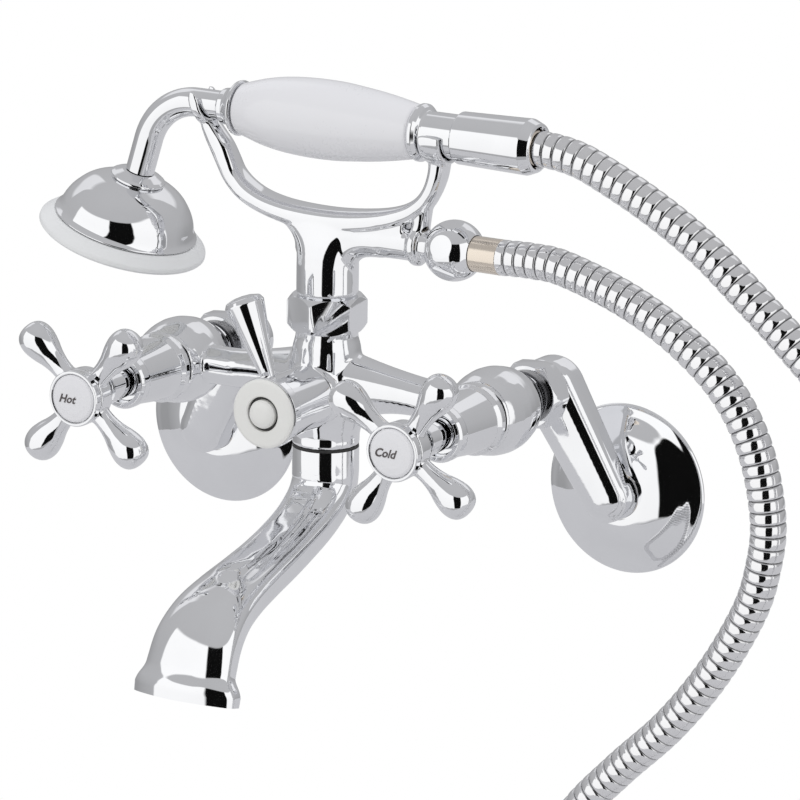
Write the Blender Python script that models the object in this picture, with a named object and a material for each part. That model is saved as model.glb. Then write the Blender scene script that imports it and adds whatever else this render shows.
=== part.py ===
"""Wall mounted bath faucet with a telephone hand shower, as separate sub-parts.

Frame: origin on the wall plane, midway between the two wall inlets; +X to the user's
right, +Z up, the user in front at -Y.  Constants are millimetres; meshes are metres.
"""
import math

import bmesh
import bpy
import numpy as np
from mathutils import Matrix, Vector

MM = 0.001                    # metres in one millimetre
GAP = 0.3                     # clearance between pieces that touch

# driving dimensions
VALVE_X = 78.0                # valve axes, either side of the middle
VALVE_Z = 46.9                # valve axes above the wall inlets
INLET_X = 102.5               # wall inlets, either side of the middle
RISER_Y = -81.4               # vertical axis through spout, hub and cradle
DIVERTER_Z = 46.2             # axis of the diverter knob
OUTLET_Z = 114.6              # axis of the cradle's hose outlet
HANDSET_Z = 162.6             # axis of the hand shower's grip
HANDLE_TURN = {"hot": 3.5, "cold": 11.3}   # degrees past the diagonal at rest
LEVER_LEAN = 22.0             # degrees the diverter lever leans to the left
HEAD_TILT = 17.0              # degrees the spray head is turned outwards from straight down
HEAD_DROP = 15.5              # straight tube between the gooseneck's bend and the spray head
HOSE_RADIUS = 7.5
HOSE_FROM_X = 83.3            # end face of the lower hose ferrule
HOSE_TO_X = 100.6             # end face of the upper hose ferrule
HOSE_POINTS = 54

ROUND = 20                    # sides of a visible turned piece
SMALL = 14                    # sides of a small or hidden turned piece

FORWARD = (0, -1, 0)
UP = (0, 0, 1)
RIGHT = (1, 0, 0)

FINISHES = {                  # base colour, roughness, metallic
    "chrome": ((0.80, 0.80, 0.82), 0.08, 1.0),
    "nickel": ((0.78, 0.70, 0.60), 0.18, 1.0),
    "steel": ((0.70, 0.70, 0.71), 0.22, 1.0),
    "brass": ((0.72, 0.52, 0.22), 0.35, 1.0),
    "porcelain": ((0.86, 0.86, 0.87), 0.12, 0.0),
    "white": ((0.88, 0.88, 0.85), 0.30, 0.0),
    "rubber": ((0.02, 0.02, 0.02), 0.65, 0.0),
}


def clear_scene():
    for obj in list(bpy.data.objects):
        bpy.data.objects.remove(obj)


def finish_for(name, kind):
    colour, roughness, metallic = FINISHES[kind]
    material = bpy.data.materials.new(name + "_finish")
    material.use_nodes = True
    shader = material.node_tree.nodes["Principled BSDF"]
    shader.inputs["Base Color"].default_value = (*colour, 1.0)
    shader.inputs["Roughness"].default_value = roughness
    shader.inputs["Metallic"].default_value = metallic
    return material


def object_from(bm, name, kind, place=(0, 0, 0), smooth=35.0):
    """Turn a bmesh into a named object at place, in millimetres."""
    bmesh.ops.recalc_face_normals(bm, faces=bm.faces[:])
    mesh = bpy.data.meshes.new(name)
    bm.to_mesh(mesh)
    bm.free()
    mesh.shade_smooth()
    mesh.set_sharp_from_angle(angle=math.radians(smooth))
    obj = bpy.data.objects.new(name, mesh)
    obj.location = Vector(place) * MM
    obj.data.materials.append(finish_for(name, kind))
    bpy.context.scene.collection.objects.link(obj)
    return obj


def aim(obj, direction, roll=0.0):
    """Turn an object's own Z to direction, after a roll about it in degrees."""
    turn = Vector(UP).rotation_difference(Vector(direction))
    obj.rotation_euler = (turn.to_matrix() @ Matrix.Rotation(math.radians(roll), 3, "Z")).to_euler()
    return obj


def lathe(name, kind, profile, place=(0, 0, 0), axis=UP, sides=ROUND, roll=0.0):
    """Spin a closed section of (radius, height) points about the object's own Z."""
    bm = bmesh.new()
    verts = [bm.verts.new((radius * MM, 0, height * MM)) for radius, height in profile]
    edges = [bm.edges.new(pair) for pair in zip(verts, verts[1:])]
    if profile[0][0] > 0 or profile[-1][0] > 0:
        edges.append(bm.edges.new((verts[-1], verts[0])))
    bmesh.ops.spin(bm, geom=verts + edges, axis=UP, cent=(0, 0, 0), angle=math.tau,
                   steps=sides, use_merge=True, use_duplicate=False)
    bmesh.ops.remove_doubles(bm, verts=bm.verts[:], dist=1e-6)
    return aim(object_from(bm, name, kind, place), axis, roll)


def tube(name, kind, outer, inner, low, high, **where):
    return lathe(name, kind, [(inner, low), (outer, low), (outer, high), (inner, high)], **where)


def rod(name, kind, radius, low, high, **where):
    return lathe(name, kind, [(0, low), (radius, low), (radius, high), (0, high)], **where)


def hexagon(name, kind, flats, low, high, **where):
    """A hexagonal prism with flats this far apart."""
    corner = flats / math.sqrt(3.0)
    return rod(name, kind, corner, low, high, sides=6, **where)


def box(name, low, high):
    bm = bmesh.new()
    bmesh.ops.create_cube(bm, size=1.0)
    size = [(h - l) * MM for l, h in zip(low, high)]
    middle = [(h + l) * 0.5 * MM for l, h in zip(low, high)]
    bmesh.ops.scale(bm, verts=bm.verts[:], vec=size)
    bmesh.ops.translate(bm, verts=bm.verts[:], vec=middle)
    return object_from(bm, name, "chrome")


def section(centre, side, rise, wide, high, power=2.0, count=14):
    """A ring of points round centre: an ellipse at power 2, squarer above it."""
    ring = []
    for step in range(count):
        angle = math.tau * step / count
        along = math.copysign(abs(math.cos(angle)) ** (2.0 / power), math.cos(angle))
        across = math.copysign(abs(math.sin(angle)) ** (2.0 / power), math.sin(angle))
        ring.append((centre + side * wide * along + rise * high * across) * MM)
    return ring


def loft(name, kind, rings, place=(0, 0, 0)):
    """Skin rings of equal count, with a flat face at each end."""
    bm = bmesh.new()
    shift = Vector(place) * MM
    loops = [[bm.verts.new(point - shift) for point in ring] for ring in rings]
    for lower, upper in zip(loops, loops[1:]):
        for index, vert in enumerate(lower):
            follow = (index + 1) % len(lower)
            bm.faces.new((vert, lower[follow], upper[follow], upper[index]))
    bm.faces.new(loops[0])
    bm.faces.new(loops[-1])
    return object_from(bm, name, kind, place)


def smooth_curve(points, count, start=None, end=None):
    """Points at even steps along a Catmull-Rom curve through the given ones."""
    knots = [np.array(point, float) for point in points]
    knots.insert(0, 2 * knots[0] - knots[1] if start is None else np.array(start, float))
    knots.append(2 * knots[-1] - knots[-2] if end is None else np.array(end, float))
    dense = []
    for a, b, c, d in zip(knots, knots[1:], knots[2:], knots[3:]):
        for t in np.linspace(0.0, 1.0, 24, endpoint=False):
            dense.append(0.5 * (2 * b + (c - a) * t + (2 * a - 5 * b + 4 * c - d) * t ** 2
                                + (3 * b - a - 3 * c + d) * t ** 3))
    dense.append(knots[-2])
    dense = np.array(dense)
    run = np.concatenate(([0.0], np.cumsum(np.linalg.norm(np.diff(dense, axis=0), axis=1))))
    even = np.linspace(0.0, run[-1], count)
    return [Vector([float(np.interp(s, run, dense[:, k])) for k in range(3)]) for s in even]


def hide_tool(tool):
    tool.hide_render = True
    tool.display_type = "WIRE"


def combine(target, tools, operation):
    for tool in tools:
        step = target.modifiers.new(operation.lower() + "_" + tool.name, "BOOLEAN")
        step.operation = operation
        step.solver = "EXACT"
        step.object = tool
        hide_tool(tool)
    return target


def valve_place(side):
    return (side * VALVE_X, 0, VALVE_Z)


def arc(centre, radius, start, end, steps):
    """(radius, height) points of an arc in a turned section, angles in degrees."""
    points = []
    for step in range(steps + 1):
        angle = math.radians(start + (end - start) * step / steps)
        points.append((centre[0] + radius * math.cos(angle), centre[1] + radius * math.sin(angle)))
    return points


# ---------------------------------------------------------------- body casting
EGG_BACK = 50.8               # rear face of a valve body, out from the wall
EGG_FRONT = 86.0              # front face, under the bonnet
HUB_TOP = 76.0
HUB_BOTTOM = 23.3
BOSS_FRONT = 97.4             # front face of the diverter boss
CHAMBER = 8.3                 # bore that holds a cartridge
WATERWAY = 5.0


def body_arm_ring(x):
    """Oval section of the horizontal casting at x, swelling up into the hub."""
    reach = min(abs(x) / 47.0, 1.0)
    swell = (1.0 - reach) ** 2
    centre = Vector((x, RISER_Y + 5.6 * reach, VALVE_Z + 0.6 + 7.2 * reach * (1 - reach)))
    return section(centre, Vector((0, 1, 0)), Vector(UP), 8.8 + 8.0 * swell, 8.4 + 11.5 * swell)


def make_main_body():
    stations = (-64, -47, -36, -27, -19, 0, 19, 27, 36, 47, 64)
    body = loft("main_body", "chrome", [body_arm_ring(x) for x in stations])
    hub = lathe("hub_form", "chrome",
                  [(0, HUB_BOTTOM), (14.4, HUB_BOTTOM), (14.4, 27.0), (16.6, 37.0),
                   (16.8, 50.0), (14.4, 66.0), (13.3, 70.0), (13.3, HUB_TOP), (0, HUB_TOP)],
                  place=(0, RISER_Y, 0))
    boss = lathe("boss_form", "chrome",
                 [(0, 78.0), (14.6, 78.0), (14.6, 92.0), (13.8, 94.5), (13.4, BOSS_FRONT),
                  (0, BOSS_FRONT)], place=(0, 0, DIVERTER_Z), axis=FORWARD)
    forms = [hub, boss]
    tools = []
    for word, side in (("left", -1), ("right", 1)):
        forms.append(lathe(word + "_egg_form", "chrome",
                           [(0, EGG_BACK), (11.5, EGG_BACK), (11.5, 54.4), (15.9, 61.6),
                            (18.1, 70.0), (17.3, 77.0), (14.4, EGG_FRONT), (0, EGG_FRONT)],
                           place=valve_place(side), axis=FORWARD))
        tools.append(rod(word + "_chamber_tool", "chrome", CHAMBER, 64.4, 90.0,
                         place=valve_place(side), axis=FORWARD, sides=SMALL))
        tools.append(rod(word + "_inlet_tool", "chrome", 6.0, 45.0, 66.0,
                         place=valve_place(side), axis=FORWARD, sides=SMALL))
    tools.append(rod("waterway_tool", "chrome", WATERWAY, -VALVE_X + 5, VALVE_X - 5, sides=10,
                     place=(0, RISER_Y, VALVE_Z), axis=RIGHT))
    tools.append(rod("riser_tool", "chrome", 7.5, 50.0, 90.0, place=(0, RISER_Y, 0), sides=SMALL))
    tools.append(rod("outlet_tool", "chrome", 9.1, 10.0, 42.0, place=(0, RISER_Y, 0), sides=SMALL))
    tools.append(rod("diverter_tool", "chrome", CHAMBER, 68.0, 104.0,
                     place=(0, 0, DIVERTER_Z), axis=FORWARD, sides=SMALL))
    combine(body, forms, "UNION")
    return combine(body, tools, "DIFFERENCE")


# ---------------------------------------------------------------- the two valves
HANDLE_PLANE = 149.3          # arms of a cross handle, out from the wall
BULB_AT = 30.6                # middle of an arm's bulb, out from the valve axis
BUTTON_FACE = 158.0


def make_cross_handle(word, side):
    place = valve_place(side)
    handle = lathe(word + "_cross_handle", "chrome",
                   [(0, 114.8), (7.1, 114.8), (7.1, 140.0), (11.3, 145.5), (11.3, 153.4),
                    (0, 153.4)],
                   place=place, axis=FORWARD, sides=18)
    arms = []
    for quarter in range(4):
        angle = math.radians(45.0 + 90.0 * quarter + HANDLE_TURN[word])
        outward = (math.cos(angle), 0, math.sin(angle))
        arms.append(lathe(word + "_arm_form_%d" % quarter, "chrome",
                          [(0, 5.5), (4.4, 5.5), (4.2, 15.0), (5.8, 22.0), (7.6, 28.4),
                           (7.5, 33.0), (5.2, 37.0), (0, 38.5)],
                          place=(place[0], -HANDLE_PLANE, place[2]), axis=outward, sides=10))
    tools = [rod(word + "_spindle_tool", "chrome", 4.2, 110.0, 136.6, place=place,
                 axis=FORWARD, sides=16),
             rod(word + "_screw_tool", "chrome", 2.4, 130.0, 150.0, place=place,
                 axis=FORWARD, sides=12),
             rod(word + "_recess_tool", "chrome", 5.2, 147.6, 160.0, place=place,
                 axis=FORWARD, sides=16)]
    combine(handle, arms, "UNION")
    combine(handle, tools, "DIFFERENCE")


def make_valve(word, side):
    where = {"place": valve_place(side), "axis": FORWARD}
    lathe(word + "_bonnet", "chrome",
          [(CHAMBER, 86.3), (15.0, 86.3), (15.0, 90.0), (13.4, 91.6), (11.2, 111.8),
           (11.7, 113.4), (11.7, 117.0), (10.9, 118.0), (8.7, 118.0), (8.7, 114.0),
           (4.4, 114.0), (4.4, 110.2), (CHAMBER, 110.2)], **where)
    lathe(word + "_cartridge", "brass",
          [(3.0, 67.6), (6.6, 67.6), (7.9, 69.0), (7.9, 109.8), (4.3, 109.8), (4.3, 73.0),
           (3.0, 73.0)], sides=SMALL, **where)
    tube(word + "_seat_washer", "rubber", 7.4, 3.2, 64.8, 67.2, sides=SMALL, **where)
    lathe(word + "_spindle", "brass",
          [(0, 73.6), (3.9, 73.6), (3.9, 136.2), (2.5, 136.2), (2.5, 127.0), (0, 127.0)],
          sides=16, **where)
    make_cross_handle(word, side)
    lathe(word + "_handle_screw", "steel",
          [(0, 128.0), (2.1, 128.0), (2.1, 147.9), (4.6, 147.9), (4.6, 149.8), (3.6, 151.0),
           (0, 151.0)], sides=16, **where)
    lathe(word + "_button_ring", "chrome",
          [(9.8, 153.7), (11.3, 153.7), (11.3, 157.0), (10.4, 158.0), (9.8, 157.6)],
          sides=18, **where)
    lathe(word + "_index_button", "porcelain",
          [(0, 153.7), (9.3, 153.7), (9.3, 157.4), (5.0, 158.2), (0, 158.4)],
          sides=18, **where)


# ---------------------------------------------------------------- diverter
LEVER_AT = 119.0              # lever's axis along the knob, out from the wall


def make_diverter():
    where = {"place": (0, 0, DIVERTER_Z), "axis": FORWARD}
    lathe("diverter_cartridge", "brass",
          [(0, 68.6), (7.9, 68.6), (7.9, 97.2), (4.3, 97.2), (4.3, 84.0), (0, 84.0)],
          sides=SMALL, **where)
    lathe("diverter_stem", "brass",
          [(0, 84.6), (3.9, 84.6), (3.9, 116.0), (0, 116.0)], sides=16, **where)
    knob = lathe("diverter_knob", "chrome",
                 [(0, 98.0), (13.6, 98.0), (13.6, 124.2), (15.0, 125.4), (15.0, 128.0),
                  (0, 128.0)], **where)
    lean = math.radians(LEVER_LEAN)
    outward = (-math.sin(lean), 0, math.cos(lean))
    lever_place = (0, -LEVER_AT, DIVERTER_Z)
    tools = [rod("knob_bore_tool", "chrome", 4.2, 90.0, 116.4, sides=16, **where),
             rod("knob_screw_tool", "chrome", 2.4, 110.0, 130.0, sides=12, **where),
             rod("knob_recess_tool", "chrome", 5.0, 124.0, 130.0, sides=16, **where),
             rod("knob_lever_tool", "chrome", 2.6, 8.0, 20.0, sides=12, place=lever_place,
                 axis=outward)]
    combine(knob, tools, "DIFFERENCE")
    lathe("diverter_knob_screw", "steel",
          [(0, 116.6), (2.1, 116.6), (2.1, 124.3), (4.4, 124.3), (4.4, 126.4), (3.4, 127.4),
           (0, 127.4)], sides=16, **where)
    lathe("diverter_lever", "chrome",
          [(0, 8.4), (2.3, 8.4), (2.3, 13.9), (3.0, 14.4), (8.0, 43.5), (8.6, 46.2),
           (6.5, 49.0), (0, 50.3)],
          place=lever_place, axis=outward, sides=16)
    lathe("diverter_disc", "white",
          [(0, 128.3), (14.5, 128.3), (14.7, 130.6), (13.9, 131.7), (0, 131.8)], **where)
    lathe("diverter_disc_button", "white",
          [(0, 132.1), (5.8, 132.1), (5.8, 133.2), (5.0, 134.0), (2.6, 134.6), (0, 134.8)],
          sides=SMALL, **where)


# ---------------------------------------------------------------- swinging spout
SPOUT_TOP = 21.3
SPOUT_PATH = (                # Y, Z, half width, half thickness, squareness
    (-81.4, SPOUT_TOP, 14.3, 14.3, 2.0), (-81.6, 13.5, 14.2, 14.2, 2.0),
    (-83.6, 5.5, 13.9, 12.8, 2.1), (-89.2, -1.8, 13.6, 11.2, 2.3),
    (-98.5, -7.6, 13.5, 9.8, 2.6), (-111.0, -12.2, 13.7, 8.8, 2.9),
    (-125.5, -16.0, 14.2, 8.0, 3.2), (-141.5, -20.0, 15.2, 7.5, 3.5),
    (-157.0, -25.2, 16.8, 7.0, 3.8), (-170.0, -33.0, 18.8, 6.6, 4.2),
    (-179.0, -43.0, 20.8, 6.3, 4.6), (-185.0, -53.0, 22.6, 6.0, 5.0),
    (-188.6, -62.6, 23.6, 6.0, 5.5))
SPOUT_LIP = 7.0               # height of the raised band at the mouth
SPOUT_WALL = 2.2


def spout_rings(thinner=0.0, past=0.0):
    centres = [Vector((0, y, z)) for y, z, _, _, _ in SPOUT_PATH]
    rings = []
    for index, (_, _, wide, high, power) in enumerate(SPOUT_PATH):
        before = centres[max(index - 1, 0)]
        after = centres[min(index + 1, len(centres) - 1)]
        along = (after - before).normalized()
        rise = Vector(RIGHT).cross(along)
        centre = centres[index].copy()
        if index == 0:
            rise = Vector((0, 1, 0))
            centre.z += past
        if index == len(centres) - 1:
            centre += along * past
        rings.append(section(centre, Vector(RIGHT), rise, wide - thinner, high - thinner, power,
                             count=16))
    return rings


def make_spout():
    hinge = (0, RISER_Y, 0)
    spout = loft("spout", "chrome", spout_rings(), place=hinge)
    end = Vector((0, *SPOUT_PATH[-1][:2]))
    along = (end - Vector((0, *SPOUT_PATH[-2][:2]))).normalized()
    rise = Vector(RIGHT).cross(along)
    lip = loft("lip_form", "chrome",
               [section(end - along * back, Vector(RIGHT), rise, wide, high, 5.5, count=16)
                for back, wide, high in ((SPOUT_LIP, 23.0, 6.0), (SPOUT_LIP - 1.2, 24.2, 7.0),
                                         (0.3, 24.6, 7.2), (-0.5, 24.0, 6.6))])
    tools = [loft("spout_bore_tool", "chrome", spout_rings(SPOUT_WALL, 3.0)),
             rod("spout_socket_tool", "chrome", 9.1, 8.0, 24.0, place=hinge, sides=SMALL),
             rod("spout_screw_tool", "chrome", 2.1, 6.0, 20.0, place=(0, RISER_Y, 15.0),
                 axis=(0, 1, 0), sides=12)]
    combine(spout, [lip], "UNION")
    combine(spout, tools, "DIFFERENCE")
    tube("spout_glide_ring", "rubber", 14.2, 9.2, 21.6, 23.0, place=hinge)
    lathe("spout_swivel_tube", "brass",
          [(6.2, 9.0), (8.6, 9.0), (8.6, 29.4), (7.4, 29.4), (7.4, 32.6), (8.6, 32.6),
           (8.6, 37.8), (6.2, 37.8)], place=hinge, sides=SMALL)
    lathe("spout_o_ring", "rubber", arc((8.3, 31.0), 0.55, 0, 300, 5), place=hinge, sides=SMALL)
    rod("spout_set_screw", "steel", 1.8, 9.1, 13.2, place=(0, RISER_Y, 15.0), axis=(0, 1, 0),
        sides=12)


# ---------------------------------------------------------------- wall connections
ARM_BACK = 18.5               # rear face of a swing arm's upper end, out from the wall
ARM_FRONT = 34.6              # its front face, behind the union nut
ARM_LOW_BACK = 12.4
ARM_LOW_FRONT = 26.5
ARM_TOP_RADIUS = 13.2
ARM_LOW_RADIUS = 10.6


def slot_ring(upper, lower, out_upper, out_lower, shrink):
    """Outline round both ends of a swing arm; its depth runs from end to end."""
    along = (lower - upper).normalized()
    across = Vector((along.z, 0, -along.x))
    ring = []
    for centre, radius, start in ((upper, ARM_TOP_RADIUS, 180.0), (lower, ARM_LOW_RADIUS, 0.0)):
        for step in range(9):
            angle = math.radians(start + 180.0 * step / 8)
            spoke = (across * math.cos(angle) + along * math.sin(angle)) * (radius - shrink)
            point = centre + spoke
            share = (point - upper).dot(along) / (lower - upper).length
            depth_here = out_upper + (out_lower - out_upper) * share
            ring.append(Vector((point.x, -depth_here, point.z)) * MM)
    return ring


def make_wall_connection(word, side):
    where = {"place": valve_place(side), "axis": FORWARD}
    tube(word + "_union_seal", "rubber", 11.8, 6.2, 47.0, 50.5, sides=18, **where)
    nut = hexagon(word + "_union_nut", "chrome", 24.6, 35.0, 46.7, roll=12.0, **where)
    chamfer = lathe(word + "_nut_chamfer_form", "chrome",
                    [(0, 34.0), (12.4, 34.9), (14.4, 37.4), (14.4, 44.4), (12.4, 46.8), (0, 47.2)],
                    sides=18, **where)
    combine(nut, [chamfer], "INTERSECT")
    combine(nut, [rod(word + "_nut_bore_tool", "chrome", 8.5, 30.0, 50.0, sides=SMALL, **where)],
            "DIFFERENCE")

    upper = Vector((side * VALVE_X, 0, VALVE_Z))
    lower = Vector((side * INLET_X, 0, 0))
    arm_rings = [slot_ring(upper, lower, ARM_BACK, ARM_LOW_BACK, 1.6),
                 slot_ring(upper, lower, ARM_BACK + 1.6, ARM_LOW_BACK + 1.6, 0.0),
                 slot_ring(upper, lower, ARM_FRONT - 2.2, ARM_LOW_FRONT - 2.2, 0.0),
                 slot_ring(upper, lower, ARM_FRONT, ARM_LOW_FRONT, 2.2)]
    arm = loft(word + "_swing_arm", "chrome", arm_rings, place=valve_place(side))
    spigot = rod(word + "_spigot_form", "chrome", 8.2, 24.0, 46.6, sides=SMALL, **where)
    passage = (lower - upper) + Vector((0, ARM_BACK - ARM_LOW_BACK, 0))
    middle_out = 0.5 * (ARM_BACK + ARM_FRONT)
    tools = [rod(word + "_arm_inlet_tool", "chrome", 6.0, middle_out, 50.0, sides=16, **where),
             rod(word + "_arm_seat_tool", "chrome", 13.0, 5.0, ARM_LOW_BACK, sides=SMALL,
                 place=(lower.x, 0, lower.z), axis=FORWARD),
             rod(word + "_arm_outlet_tool", "chrome", 6.0, 8.0, 19.5, sides=16,
                 place=(lower.x, 0, lower.z), axis=FORWARD),
             rod(word + "_arm_passage_tool", "chrome", 4.6, 0.0, passage.length, sides=12,
                 place=(upper.x, -middle_out, upper.z), axis=passage)]
    combine(arm, [rod(word + "_arm_face_tool", "chrome", 17.0, ARM_FRONT, 50.0, sides=SMALL,
                      **where)], "DIFFERENCE")
    combine(arm, [spigot], "UNION")
    combine(arm, tools, "DIFFERENCE")

    inlet = {"place": (side * INLET_X, 0, 0), "axis": FORWARD}
    lathe(word + "_inlet_nipple", "brass",
          [(6.2, -10.0), (9.2, -10.0), (9.2, 9.2), (11.0, 9.2), (11.0, 12.1), (6.2, 12.1)],
          sides=18, **inlet)
    lathe(word + "_wall_flange", "chrome",
          [(31.0, 0.0), (37.3, 0.0), (37.3, 2.8), (35.6, 4.3), (33.0, 3.9), (25.0, 7.0),
           (14.0, 8.8), (9.7, 8.9), (9.7, 7.3), (14.0, 7.2), (25.0, 5.2), (31.0, 2.4)],
          sides=28, **inlet)


# ---------------------------------------------------------------- riser and cradle
STEM_RADIUS = 13.2
NUT_LOW = 71.0
NUT_HIGH = 86.2
CRADLE_PATH = (               # X, Z, half width along Y, half thickness
    (-59.6, 155.0, 5.0, 3.4), (-56.4, 149.8, 5.2, 4.4), (-52.8, 144.6, 5.6, 5.0),
    (-49.8, 139.2, 6.0, 4.9),
    (-46.6, 133.6, 6.4, 4.6), (-41.0, 128.4, 6.9, 4.7), (-33.0, 124.4, 7.2, 4.7),
    (-22.0, 121.6, 7.4, 5.0), (-9.0, 120.0, 7.6, 5.6), (5.0, 119.8, 7.6, 5.8),
    (19.0, 121.4, 7.4, 5.4), (31.0, 124.2, 7.0, 4.7), (40.0, 127.8, 6.5, 4.2),
    (46.4, 132.4, 6.0, 3.8), (50.4, 138.0, 5.6, 3.6), (52.8, 144.0, 5.6, 3.8),
    (53.8, 149.0, 5.6, 4.0), (54.0, 153.0, 5.6, 4.2))
YOKES = (("left", -65.0, -52.4, 6.7, 9.4), ("right", 48.3, 58.9, 9.7, 12.4))
YOKE_HORN = 4.5               # how far the horns reach above the hand shower's axis


def cradle_rings():
    centres = [Vector((x, RISER_Y, z)) for x, z, _, _ in CRADLE_PATH]
    rings = []
    for index, (_, _, wide, high) in enumerate(CRADLE_PATH):
        before = centres[max(index - 1, 0)]
        after = centres[min(index + 1, len(centres) - 1)]
        along = (after - before).normalized()
        rise = along.cross(Vector((0, 1, 0)))
        rings.append(section(centres[index], Vector((0, 1, 0)), rise, wide, high, 2.4, count=10))
    return rings


def make_riser():
    where = {"place": (0, RISER_Y, 0)}
    nut = hexagon("riser_union_nut", "chrome", 29.6, NUT_LOW, NUT_HIGH, roll=-24.0, **where)
    chamfer = lathe("riser_chamfer_form", "chrome",
                    [(0, NUT_LOW - 0.4), (14.6, NUT_LOW), (17.4, NUT_LOW + 3.4),
                     (17.4, NUT_HIGH - 1.6), (15.8, NUT_HIGH), (0, NUT_HIGH + 0.4)], **where)
    combine(nut, [chamfer], "INTERSECT")
    bore = lathe("riser_bore_tool", "chrome",
                 [(0, 65.0), (13.6, 65.0), (13.6, 82.3), (11.9, 82.3), (11.9, 90.0), (0, 90.0)],
                 **where)
    combine(nut, [bore], "DIFFERENCE")
    tube("riser_washer", "rubber", 13.0, 8.0, HUB_TOP + GAP, 78.3, sides=18, **where)

    cradle = loft("cradle", "chrome", cradle_rings())
    stem = lathe("stem_form", "chrome",
                 [(0, 78.6), (13.2, 78.6), (13.2, 82.0), (11.5, 82.0), (11.5, 86.6),
                  (STEM_RADIUS, 86.6), (STEM_RADIUS, 106.0), (14.0, 110.0), (15.4, 114.0),
                  (15.0, 118.0), (10.0, 122.0), (0, 122.0)], **where)
    outlet_where = {"place": (0, RISER_Y, OUTLET_Z), "axis": RIGHT}
    outlet = lathe("outlet_form", "chrome",
                   [(0, -6.0), (8.4, -6.0), (7.0, 20.0), (7.0, 42.0), (8.6, 43.0), (8.6, 46.2),
                    (6.3, 46.6), (6.3, 57.0), (0, 57.0)],
                   sides=16, **outlet_where)
    web = loft("web_form", "chrome",
               [section(Vector((43.5, RISER_Y, 114.0)), Vector((0, 1, 0)), Vector(RIGHT), 5.0, 4.5,
                        count=12),
                section(Vector((47.5, RISER_Y, 134.0)), Vector((0, 1, 0)), Vector(RIGHT), 5.0, 3.0,
                        count=12)])
    forms = [stem, outlet, web]
    tools = [rod("cradle_riser_tool", "chrome", 6.0, 70.0, OUTLET_Z + 2.0, sides=16, **where),
             rod("cradle_outlet_tool", "chrome", 4.6, 0.0, 60.0, sides=16, **outlet_where)]
    for word, low, high, inner, outer in YOKES:
        forms.append(rod(word + "_yoke_form", "chrome", outer, low, high,
                         place=(0, RISER_Y, HANDSET_Z), axis=RIGHT, sides=18))
        top = HANDSET_Z + YOKE_HORN
        tools.append(rod(word + "_yoke_tool", "chrome", inner, low - 1, high + 1, sides=18,
                         place=(0, RISER_Y, HANDSET_Z), axis=RIGHT))
        tools.append(box(word + "_slot_tool", (low - 1, RISER_Y - inner, HANDSET_Z),
                         (high + 1, RISER_Y + inner, top + 20)))
        tools.append(box(word + "_trim_tool", (low - 1, RISER_Y - 20, top),
                         (high + 1, RISER_Y + 20, top + 21)))
    combine(cradle, forms, "UNION")
    combine(cradle, tools, "DIFFERENCE")


# ---------------------------------------------------------------- hand shower
GRIP_FROM = -42.9
GRIP_TO = 43.6
TUBE_RADIUS = 6.2
BEND_RADIUS = 26.0
BEND_FROM_X = -65.7


def head_axis():
    tilt = math.radians(HEAD_TILT)
    return Vector((-math.sin(tilt), 0, -math.cos(tilt)))


def head_top():
    return gooseneck_points()[-1] + head_axis() * GAP


def gooseneck_points():
    """Centre line from inside the front ferrule down to the spray head."""
    turn = 90.0 - HEAD_TILT
    middle = Vector((BEND_FROM_X, RISER_Y, HANDSET_Z - BEND_RADIUS))
    points = [Vector((-44.5, RISER_Y, HANDSET_Z)), Vector((-60.0, RISER_Y, HANDSET_Z))]
    for step in range(7):
        angle = math.radians(90.0 + turn * step / 6)
        points.append(middle + Vector((math.cos(angle), 0, math.sin(angle))) * BEND_RADIUS)
    points.append(points[-1] + head_axis() * (HEAD_DROP - GAP))
    return points


def tube_rings(points, radius, count):
    rings = []
    for index, point in enumerate(points):
        before = points[max(index - 1, 0)]
        after = points[min(index + 1, len(points) - 1)]
        along = (after - before).normalized()
        side = Vector((0, 1, 0))
        rings.append(section(point, side, along.cross(side), radius, radius, count=count))
    return rings


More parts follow.
